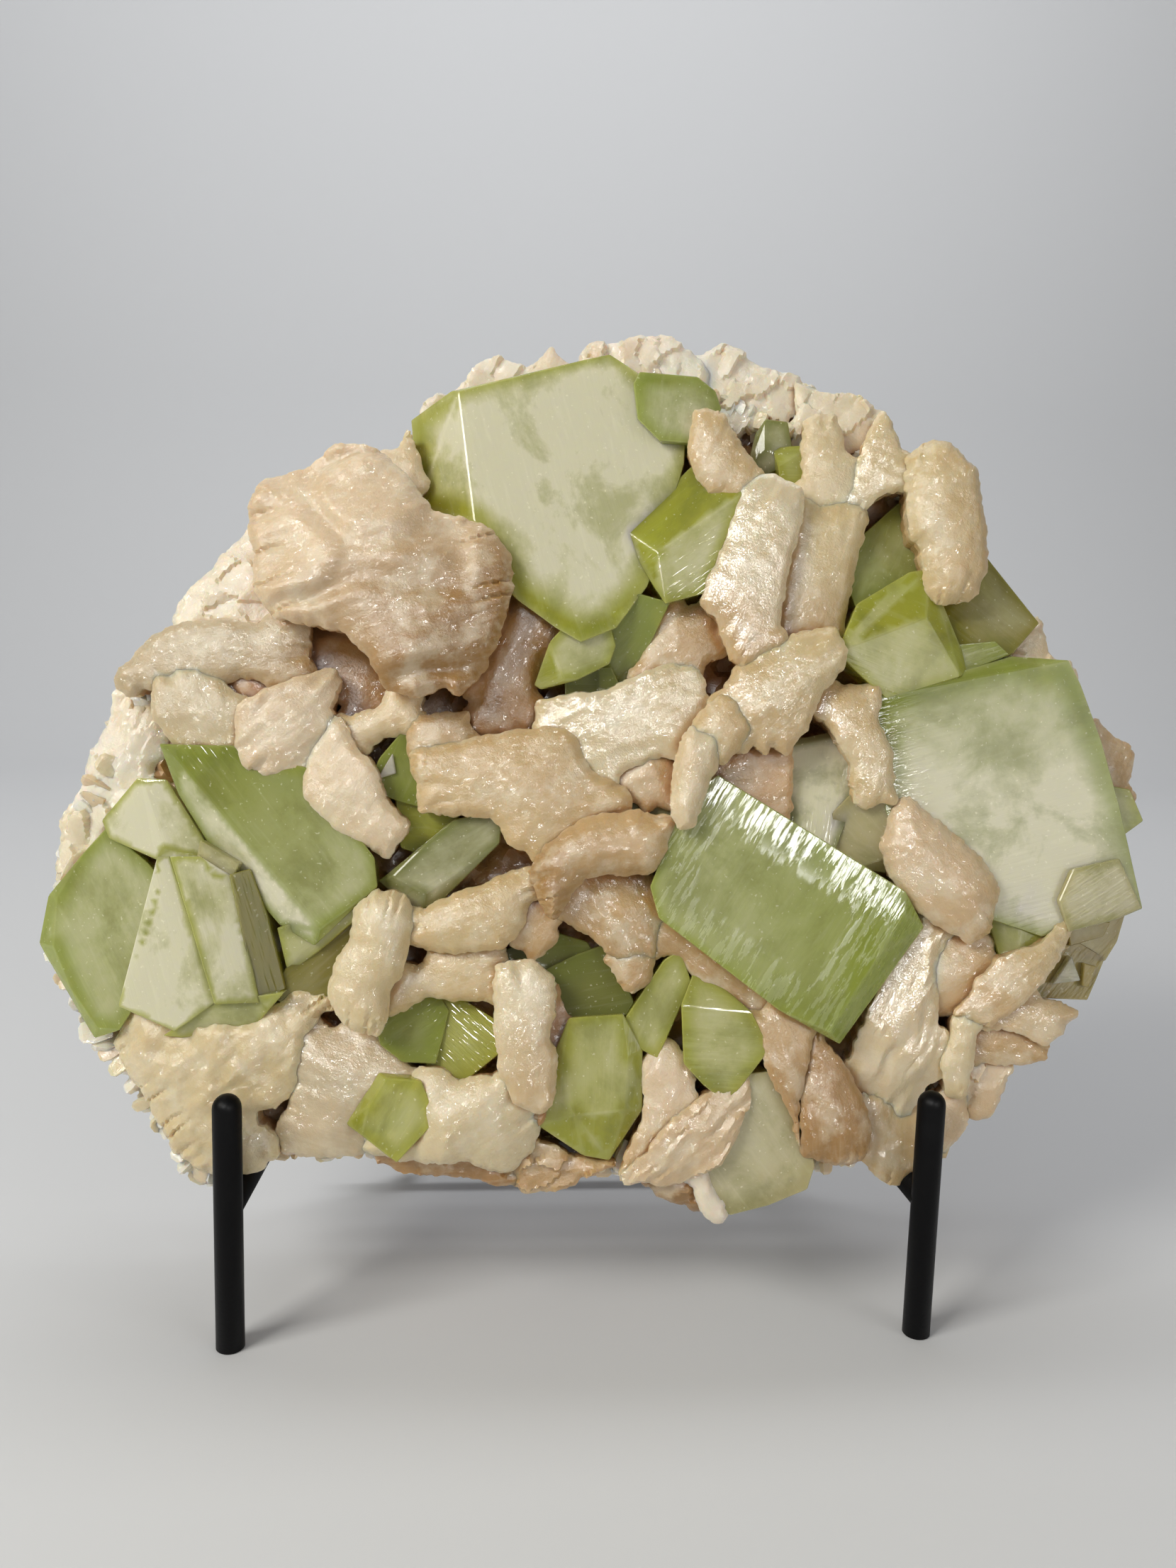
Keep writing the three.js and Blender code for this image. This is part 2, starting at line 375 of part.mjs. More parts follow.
      rim: [[48.5, -73.4, 2], [39.5, -86, 2]] },
  ],
  apophyllite_foot: [
    { lift: 3, tilt: [0, 0.1],
      front: [[44, -83], [51, -83.6], [60, -104.6], [64, -108], [61.9, -114.5], [51, -119],
        [40, -121.8], [33, -109.5]],
      rim: [] },
  ],
  apophyllite_stepped: [
    { lift: -7, tilt: [-0.1, 0],
      front: [[139.4, -39.5], [149, -38.5], [149.4, -45.3], [145, -51], [136, -48]],
      rim: [] },
    { lift: -4, tilt: [-0.2, 0],
      front: [[137, -46], [146, -49], [143.4, -55.5], [141, -61], [126.3, -59.3], [133.4, -51.7]],
      rim: [] },
  ],
};

// Lumps of basalt behind the crystals. front and back are lifts over the plate.
const MATRIX_LUMPS = [
  { front: MATRIX_FRONT, back: MATRIX_BACK, taper: 0.22,
    outline: [[-99, 54], [-60, 88], [10, 108], [70, 92], [104, 60], [132, 8], [126, -44], [84, -84],
      [10, -92], [-70, -88], [-122, -60], [-136, -10]] },
  { front: -3, back: -50, taper: 0.3,
    outline: [[-16, -100], [1, -100], [3, -107], [-3.5, -114.3], [-13, -116.7], [-19, -115],
      [-20, -106]] },
  { front: MATRIX_FRONT, back: -65, taper: 0.35,
    outline: [[-70, 30], [-20, 64], [50, 60], [88, 10], [70, -50], [0, -70], [-70, -50], [-96, -10]] },
];

// Flat seats under the specimen, where it sits on the arms.
const SEAT_HALF_WIDTH = 9;
const SEAT_FRONT_Y = -10;
const SEAT_BACK_Y = 95;
const SEAT_DROP = 40;

// Height out of the face frame of a place that is lifted off the plate.
function outOf(right, up, lift) {
  return PLATE_LIFT + PLATE_PER_RIGHT * right + PLATE_PER_UP * up + lift;
}

// How much nearer to the middle of the view a place at that height has to be, to show where it does.
function nearness(out) {
  return 1 - out / EYE_DISTANCE;
}

function middleOf(outline) {
  const box = new THREE.Box2().setFromPoints(outline.map(([x, y]) => new THREE.Vector2(x, y)));
  return box.getCenter(new THREE.Vector2());
}

// Flat sheet of places over a piece: its middle is on the sight line, and it keeps the piece's size.
function sheetOver(outline, lift, tilt) {
  const middle = middleOf(outline);
  const near = nearness(outOf(middle.x, middle.y, lift));
  return ([x, y], drop) => new THREE.Vector3(
    x * near,
    y * near,
    outOf(x, y, lift - drop) + tilt[0] * (x - middle.x) + tilt[1] * (y - middle.y),
  );
}

// How far a corner stands out from the line between its neighbours.
function standOut(outline, i) {
  const [before, corner, after] = [i - 1, i, i + 1].map((k) => {
    const [x, y] = outline[(k + outline.length) % outline.length];
    return new THREE.Vector3(x, y, 0);
  });
  const nearest = new THREE.Line3(before, after).closestPointToPoint(corner, true, new THREE.Vector3());
  return nearest.distanceTo(corner);
}

// Outline without the corners that hardly stand out, anticlockwise seen from the front.
function thinned(outline) {
  const kept = [...outline];
  for (;;) {
    const stands = kept.map((_, i) => standOut(kept, i));
    const least = Math.min(...stands);
    if (least > OUTLINE_TOLERANCE || kept.length <= FEWEST_CORNERS) break;
    kept.splice(stands.indexOf(least), 1);
  }
  const area = THREE.ShapeUtils.area(kept.map(([x, y]) => new THREE.Vector2(x, y)));
  return area < 0 ? kept.reverse() : kept;
}

// The outline drawn in by an amount along and across its own grain, about its middle.
function drawnIn(outline, grain, amount) {
  const angle = THREE.MathUtils.degToRad(grain);
  const origin = new THREE.Vector2();
  const turned = outline.map(([x, y]) => new THREE.Vector2(x, y).rotateAround(origin, -angle));
  const box = new THREE.Box2().setFromPoints(turned);
  const middle = box.getCenter(new THREE.Vector2());
  const half = box.getSize(new THREE.Vector2()).multiplyScalar(0.5);
  return turned.map((p) => {
    p.sub(middle);
    p.set(p.x * (1 - amount / half.x), p.y * (1 - amount / half.y));
    return p.add(middle).rotateAround(origin, angle).toArray();
  });
}

// Solid between stacked rings of places, first ring in front. The outline gives the caps.
function solidFromRings(outline, rings) {
  const count = outline.length;
  const places = rings.flat();
  const caps = THREE.ShapeUtils.triangulateShape(outline.map(([x, y]) => new THREE.Vector2(x, y)), []);
  const last = (rings.length - 1) * count;
  const faces = [];
  for (const [a, b, c] of caps) {
    faces.push(a, b, c, last + a, last + c, last + b);
  }
  for (let ring = 0; ring < rings.length - 1; ring++) {
    for (let i = 0; i < count; i++) {
      const a = ring * count + i;
      const b = ring * count + ((i + 1) % count);
      faces.push(a, a + count, b + count, a, b + count, b);
    }
  }
  return solidFromArrays(places.flatMap((p) => p.toArray()), faces);
}

function solidFromArrays(places, faces) {
  return new wasm.Manifold(new wasm.Mesh({
    numProp: 3,
    vertProperties: Float32Array.from(places),
    triVerts: Uint32Array.from(faces),
  }));
}

function solidFromGeometry(geometry) {
  const bare = geometry.clone();
  bare.deleteAttribute("normal");
  bare.deleteAttribute("uv");
  const merged = mergeVertices(bare, 1e-4);
  return solidFromArrays(merged.attributes.position.array, merged.index.array);
}

function geometryFromSolid(solid) {
  const { vertProperties, triVerts } = solid.getMesh();
  const geometry = new THREE.BufferGeometry();
  geometry.setAttribute("position", new THREE.BufferAttribute(Float32Array.from(vertProperties), 3));
  geometry.setIndex(new THREE.BufferAttribute(Uint32Array.from(triVerts), 1));
  return geometry;
}

function joined(solids) {
  return solids.reduce((whole, solid) => whole.add(solid));
}

// The largest body of a solid, without the slivers that cutting can leave.
function largestBody(solid) {
  return solid.decompose().reduce((best, body) => (body.volume() > best.volume() ? body : best));
}

function bladeSolid({ outline, lift, tilt, grain, roll, depth }) {
  const ring = thinned(outline);
  const place = sheetOver(ring, lift, tilt);
  return solidFromRings(ring, [
    drawnIn(ring, grain, roll).map((p) => place(p, 0)),
    ring.map((p) => place(p, roll * 0.7)),
    drawnIn(ring, grain, depth * 0.12).map((p) => place(p, depth)),
  ]);
}

// The crust follows the plate, so each place of it has its own nearness.
function crustSolid() {
  const ring = thinned(CRUST_OUTLINE);
  const place = ([x, y], lift) => {
    const near = nearness(outOf(x, y, CRUST_FRONT));
    return new THREE.Vector3(x * near, y * near, outOf(x, y, lift));
  };
  return solidFromRings(ring, [
    ring.map((p) => place(p, CRUST_FRONT)),
    drawnIn(ring, 0, CRUST_TAPER).map((p) => place(p, CRUST_BACK)),
  ]);
}

// Outermost corners of an outline to the left, right, bottom and top.
function outermost(outline) {
  const by = (rank) => outline.reduce((best, p) => (rank(p) > rank(best) ? p : best));
  return [by(([x]) => -x), by(([x]) => x), by(([, y]) => -y), by(([, y]) => y)];
}

// The outline widened by an amount on every side, about its middle.
function widened(outline, amount) {
  const box = new THREE.Box2().setFromPoints(outline.map(([x, y]) => new THREE.Vector2(x, y)));
  const middle = box.getCenter(new THREE.Vector2());
  const half = box.getSize(new THREE.Vector2()).multiplyScalar(0.5);
  return outline.map(([x, y]) => [
    middle.x + (x - middle.x) * (1 + amount / half.x),
    middle.y + (y - middle.y) * (1 + amount / half.y),
  ]);
}

function shrunk(outline, share) {
  const middle = middleOf(outline);
  return outline.map(([x, y]) => [middle.x + (x - middle.x) * share, middle.y + (y - middle.y) * share]);
}

// Convex crystal: its front face, its side faces and a root of four corners. grow widens it all round.
function crystalSolid({ lift, tilt, front, rim }, grow = 0) {
  const corners = [...front, ...rim.map(([x, y]) => [x, y])];
  const drops = [...front.map(() => 0), ...rim.map(([, , drop]) => drop)];
  const place = sheetOver(corners, lift, tilt);
  const points = widened(corners, grow).map((p, i) => place(p, drops[i] - grow));
  const root = shrunk(corners, ROOT_WIDTH);
  for (const p of widened(root, grow).filter((_, i) => outermost(root).includes(root[i]))) {
    points.push(place(p, lift - CRYSTAL_BACK + grow));
  }
  return solidFromGeometry(new ConvexGeometry(points));
}

// Convex lump of basalt, full width for the first part of its depth and narrower at its back.
function matrixLump({ outline, front, back, taper }, grow = 0) {
  const place = sheetOver(outline, front, [0, 0]);
  const wide = widened(outline, grow);
  const narrow = widened(shrunk(outline, 1 - taper), grow);
  const depth = front - back;
  const points = [
    ...wide.map((p) => place(p, -grow)),
    ...wide.map((p) => place(p, depth * LUMP_SHOULDER + grow)),
    ...narrow.map((p) => place(p, depth + grow)),
  ];
  return solidFromGeometry(new ConvexGeometry(points));
}

// Specimen group: turn about Z, lean back, roll in the face.
const turned = new THREE.Group();
turned.position.set(...FACE_CENTRE);
turned.rotation.z = -FACE_TURN;
const leaned = new THREE.Group();
leaned.rotation.x = Math.PI / 2 - FACE_LEAN;
turned.add(leaned);
const face = new THREE.Group();
face.rotation.z = FACE_ROLL;
leaned.add(face);
turned.updateMatrixWorld(true);
const toFace = face.matrixWorld.clone().invert();

// Space under the specimen that the arms take, in the face frame.
function seatCutter(side) {
  const depth = SEAT_BACK_Y - SEAT_FRONT_Y;
  const box = new THREE.BoxGeometry(2 * SEAT_HALF_WIDTH, depth, SEAT_DROP);
  const x = side * (POST_HALF_SPACING - ARM_TOE_IN / 2);
  box.translate(x, (SEAT_FRONT_Y + SEAT_BACK_Y) / 2, ARM_TOP + TOUCH_GAP - SEAT_DROP / 2);
  return solidFromGeometry(box.applyMatrix4(toFace));
}

const seats = joined([seatCutter(-1), seatCutter(1)]);

function apophylliteSolid(crystals) {
  return largestBody(joined(crystals.map((crystal) => crystalSolid(crystal))).subtract(seats));
}

// Room for every crystal, with the gap around it.
function crystalSockets() {
  const crystals = Object.values(CRYSTALS).flat();
  return joined(crystals.map((crystal) => crystalSolid(crystal, SOCKET_GAP)));
}

function stilbiteSolid() {
  const body = joined([crustSolid(), ...BLADES.map(bladeSolid)]);
  const lumpRoom = joined(MATRIX_LUMPS.map((lump) => matrixLump(lump, SOCKET_GAP)));
  return largestBody(body.subtract(crystalSockets()).subtract(lumpRoom).subtract(seats));
}

function matrixSolid() {
  const body = joined(MATRIX_LUMPS.map((lump) => matrixLump(lump)));
  return largestBody(body.subtract(crystalSockets()).subtract(seats));
}

// Rod between two places with flat ends, as geometry.
function rodGeometry(from, to, radius) {
  const start = new THREE.Vector3(...from);
  const along = new THREE.Vector3(...to).sub(start);
  const rod = new THREE.CylinderGeometry(radius, radius, along.length(), ROD_SIDES);
  rod.translate(0, along.length() / 2, 0);
  const up = new THREE.Vector3(0, 1, 0);
  rod.applyQuaternion(new THREE.Quaternion().setFromUnitVectors(up, along.normalize()));
  return rod.translate(...start.toArray());
}

// Rod fitted against the rods that it meets: their shape with the touching gap is cut away from it,
// and so is what would reach below the floor.
function fittedRod(rod, neighbours) {
  let solid = solidFromGeometry(rodGeometry(rod.from, rod.to, rod.radius));
  for (const other of neighbours) {
    const room = other.radius + TOUCH_GAP + FACET_SAG;
    solid = solid.subtract(solidFromGeometry(rodGeometry(other.from, other.to, room)));
  }
  const floor = new THREE.BoxGeometry(4 * REAR_FOOT_X, 4 * REAR_FOOT_Y, 4 * rod.radius);
  floor.translate(0, 0, -2 * rod.radius);
  return largestBody(solid.subtract(solidFromGeometry(floor)));
}

// Front post: a rod that ends in a half ball.
function postGeometry() {
  const profile = [new THREE.Vector2(0, 0), new THREE.Vector2(ROD_RADIUS, 0)];
  for (let i = 0; i < POST_CAP_STEPS; i++) {
    const angle = (i / POST_CAP_STEPS) * Math.PI / 2;
    profile.push(new THREE.Vector2(
      ROD_RADIUS * Math.cos(angle),
      POST_HEIGHT - ROD_RADIUS + ROD_RADIUS * Math.sin(angle),
    ));
  }
  profile.push(new THREE.Vector2(0, POST_HEIGHT));
  return new THREE.LatheGeometry(profile, ROD_SIDES).rotateX(Math.PI / 2);
}

const materials = {
  matrix: new THREE.MeshStandardMaterial({ color: 0x5a4b4c, roughness: 0.9 }),
  stilbite: new THREE.MeshStandardMaterial({ color: 0xdcc3a0, roughness: 0.45 }),
  apophyllite: new THREE.MeshStandardMaterial({
    color: 0xb9c79a, roughness: 0.12, transparent: true, opacity: 0.75,
  }),
  steel: new THREE.MeshStandardMaterial({ color: 0x101012, roughness: 0.5, metalness: 0.3 }),
};

function namedMesh(name, geometry, material) {
  const mesh = new THREE.Mesh(geometry, material);
  mesh.name = name;
  return mesh;
}

face.add(namedMesh("matrix", geometryFromSolid(matrixSolid()), materials.matrix));
face.add(namedMesh("stilbite", geometryFromSolid(stilbiteSolid()), materials.stilbite));
for (const [name, crystals] of Object.entries(CRYSTALS)) {
  face.add(namedMesh(name, geometryFromSolid(apophylliteSolid(crystals)), materials.apophyllite));
}

// The stand's rods, left and right alike, and the cross bars behind them.
const armZ = ARM_TOP - ROD_RADIUS;
const armEndX = POST_HALF_SPACING - ARM_TOE_IN;
const uprightTopX = armEndX - UPRIGHT_TOE_IN;
const uprightTopY = ARM_END_Y + (UPRIGHT_TOP_Z - armZ) * Math.tan(UPRIGHT_LEAN);

// Place along a rod where it is at a height.
function atHeight({ from, to }, z) {
  const share = (z - from[2]) / (to[2] - from[2]);
  return from.map((start, i) => start + (to[i] - start) * share);
}

// Where a rod that stands on the floor ends before it is cut level.
function throughFloor(from, foot) {
  return from.map((start, i) => start + (foot[i] - start) * LEG_OVERRUN);
}

function sideRods(side) {
  const postX = side * POST_HALF_SPACING;
  const corner = [side * armEndX, ARM_END_Y, armZ];
  const foot = [side * REAR_FOOT_X, REAR_FOOT_Y, 0];
  return {
    post: { from: [postX, 0, 0], to: [postX, 0, POST_HEIGHT - ROD_RADIUS], radius: ROD_RADIUS },
    arm: { from: [postX, 0, armZ], to: corner, radius: ROD_RADIUS },
    upright: {
      from: corner,
      to: [side * uprightTopX, uprightTopY, UPRIGHT_TOP_Z],
      radius: ROD_RADIUS,
    },
    leg: { from: corner, to: throughFloor(corner, foot), radius: ROD_RADIUS },
  };
}

// Cross bar just behind a pair of rods, at a height.
function crossBar(rod, z) {
  const [x, y] = atHeight(rod, z);
  const behind = y + ROD_RADIUS + BAR_RADIUS + BAR_STAND_OFF;
  const reach = Math.abs(x) + CROSS_BAR_OVERHANG;
  return { from: [-reach, behind, z], to: [reach, behind, z], radius: BAR_RADIUS };
}

const stand = new THREE.Group();

function addRod(name, rod, neighbours) {
  stand.add(namedMesh(name, geometryFromSolid(fittedRod(rod, neighbours)), materials.steel));
}

for (const [sideName, side] of [["left", -1], ["right", 1]]) {
  const { post, arm, upright, leg } = sideRods(side);
  const postMesh = namedMesh(`post_${sideName}`, postGeometry(), materials.steel);
  postMesh.position.x = post.from[0];
  stand.add(postMesh);
  addRod(`arm_${sideName}`, arm, [post, upright]);
  addRod(`upright_${sideName}`, upright, []);
  addRod(`leg_${sideName}`, leg, [arm, upright]);
}
const { upright, leg } = sideRods(1);
addRod("cross_bar_high", crossBar(upright, CROSS_BAR_HIGH_Z), [upright, sideRods(-1).upright]);
addRod("cross_bar_low", crossBar(leg, CROSS_BAR_LOW_Z), [leg, sideRods(-1).leg]);

const aboutPosts = new THREE.Group();
aboutPosts.position.set(-WHOLE_MIDDLE[0], -WHOLE_MIDDLE[1], 0);
aboutPosts.add(turned, stand);
const part = new THREE.Group();
part.add(aboutPosts);

export default part;
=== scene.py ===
"""Apophyllite and stilbite on basalt, leaning on a black rod stand: the visible pieces, light and camera."""
import math

import bmesh
import bpy
import numpy as np
from mathutils import Matrix, Vector
from mathutils.bvhtree import BVHTree
from mathutils.geometry import delaunay_2d_cdt


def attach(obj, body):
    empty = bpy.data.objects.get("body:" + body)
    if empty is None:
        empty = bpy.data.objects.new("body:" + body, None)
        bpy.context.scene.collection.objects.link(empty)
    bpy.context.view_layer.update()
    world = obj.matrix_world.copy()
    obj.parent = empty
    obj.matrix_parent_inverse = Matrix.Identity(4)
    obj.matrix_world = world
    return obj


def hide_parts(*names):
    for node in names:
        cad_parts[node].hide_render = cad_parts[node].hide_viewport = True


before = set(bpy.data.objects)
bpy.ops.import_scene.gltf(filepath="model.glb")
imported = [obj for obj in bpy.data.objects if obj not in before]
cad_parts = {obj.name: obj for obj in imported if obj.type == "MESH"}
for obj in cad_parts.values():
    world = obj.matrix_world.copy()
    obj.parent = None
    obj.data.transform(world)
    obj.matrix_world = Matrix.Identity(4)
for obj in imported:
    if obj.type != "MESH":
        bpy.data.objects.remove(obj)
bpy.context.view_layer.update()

MM = 0.001

# Face frame of the specimen, in millimetres, as in the part: x right, y up, z out of the face towards
# the viewer, who is straight in front. Its plate is the leaning plane that lifts are measured from.
EYE_DISTANCE = 332.2
FACE_LEAN = math.radians(7.8)
FACE_TURN = math.radians(4.52)
FACE_ROLL = math.radians(1.55)
FACE_CENTRE = (-1.3, 12.8, 160.9)
WHOLE_MIDDLE = (8.8, 52.6)
PLATE_LIFT = -18.0
PLATE_PER_RIGHT = -0.079
PLATE_PER_UP = -0.08
FACE = (
    Matrix.Translation((FACE_CENTRE[0] - WHOLE_MIDDLE[0], FACE_CENTRE[1] - WHOLE_MIDDLE[1], FACE_CENTRE[2]))
    @ Matrix.Rotation(-FACE_TURN, 4, "Z")
    @ Matrix.Rotation(math.pi / 2 - FACE_LEAN, 4, "X")
    @ Matrix.Rotation(FACE_ROLL, 4, "Z")
)
FACE_ARRAY = np.array(FACE)

# Tones of the stilbite, and of the stain and the painted shade on it.
WHITE = (0.94, 0.86, 0.74)
PALE = (0.77, 0.66, 0.44)
CREAM = (0.68, 0.54, 0.29)
PEACH = (0.61, 0.415, 0.195)
PINK = (0.74, 0.57, 0.37)
TAN = (0.43, 0.255, 0.085)
BROWN = (0.20, 0.095, 0.03)
ORANGE = (0.46, 0.185, 0.035)
AMBER = (0.36, 0.19, 0.045)
# Honey: painted shade for the blades' walls, which turn from the light.
HONEY = (0.52, 0.27, 0.075)
CLOUD = (0.85, 0.765, 0.58)
# A pale tone darkened as painted shade, for blades at the left where the window light falls strongest.
SHADED_PALE = (0.57, 0.475, 0.31)

# Colours of the apophyllite: its clear edges, then its milk and veils. The veil colour also paints highlights
# along the edges and glints.
LIME = (0.57, 0.60, 0.07)
LEAF = (0.41, 0.485, 0.08)
MOSS = (0.27, 0.30, 0.065)
OLIVE = (0.34, 0.30, 0.025)
STRAW = (0.66, 0.58, 0.28)
SAND = (0.50, 0.38, 0.10)
MILK = (0.80, 0.775, 0.575)
VEIL = (0.88, 0.86, 0.73)
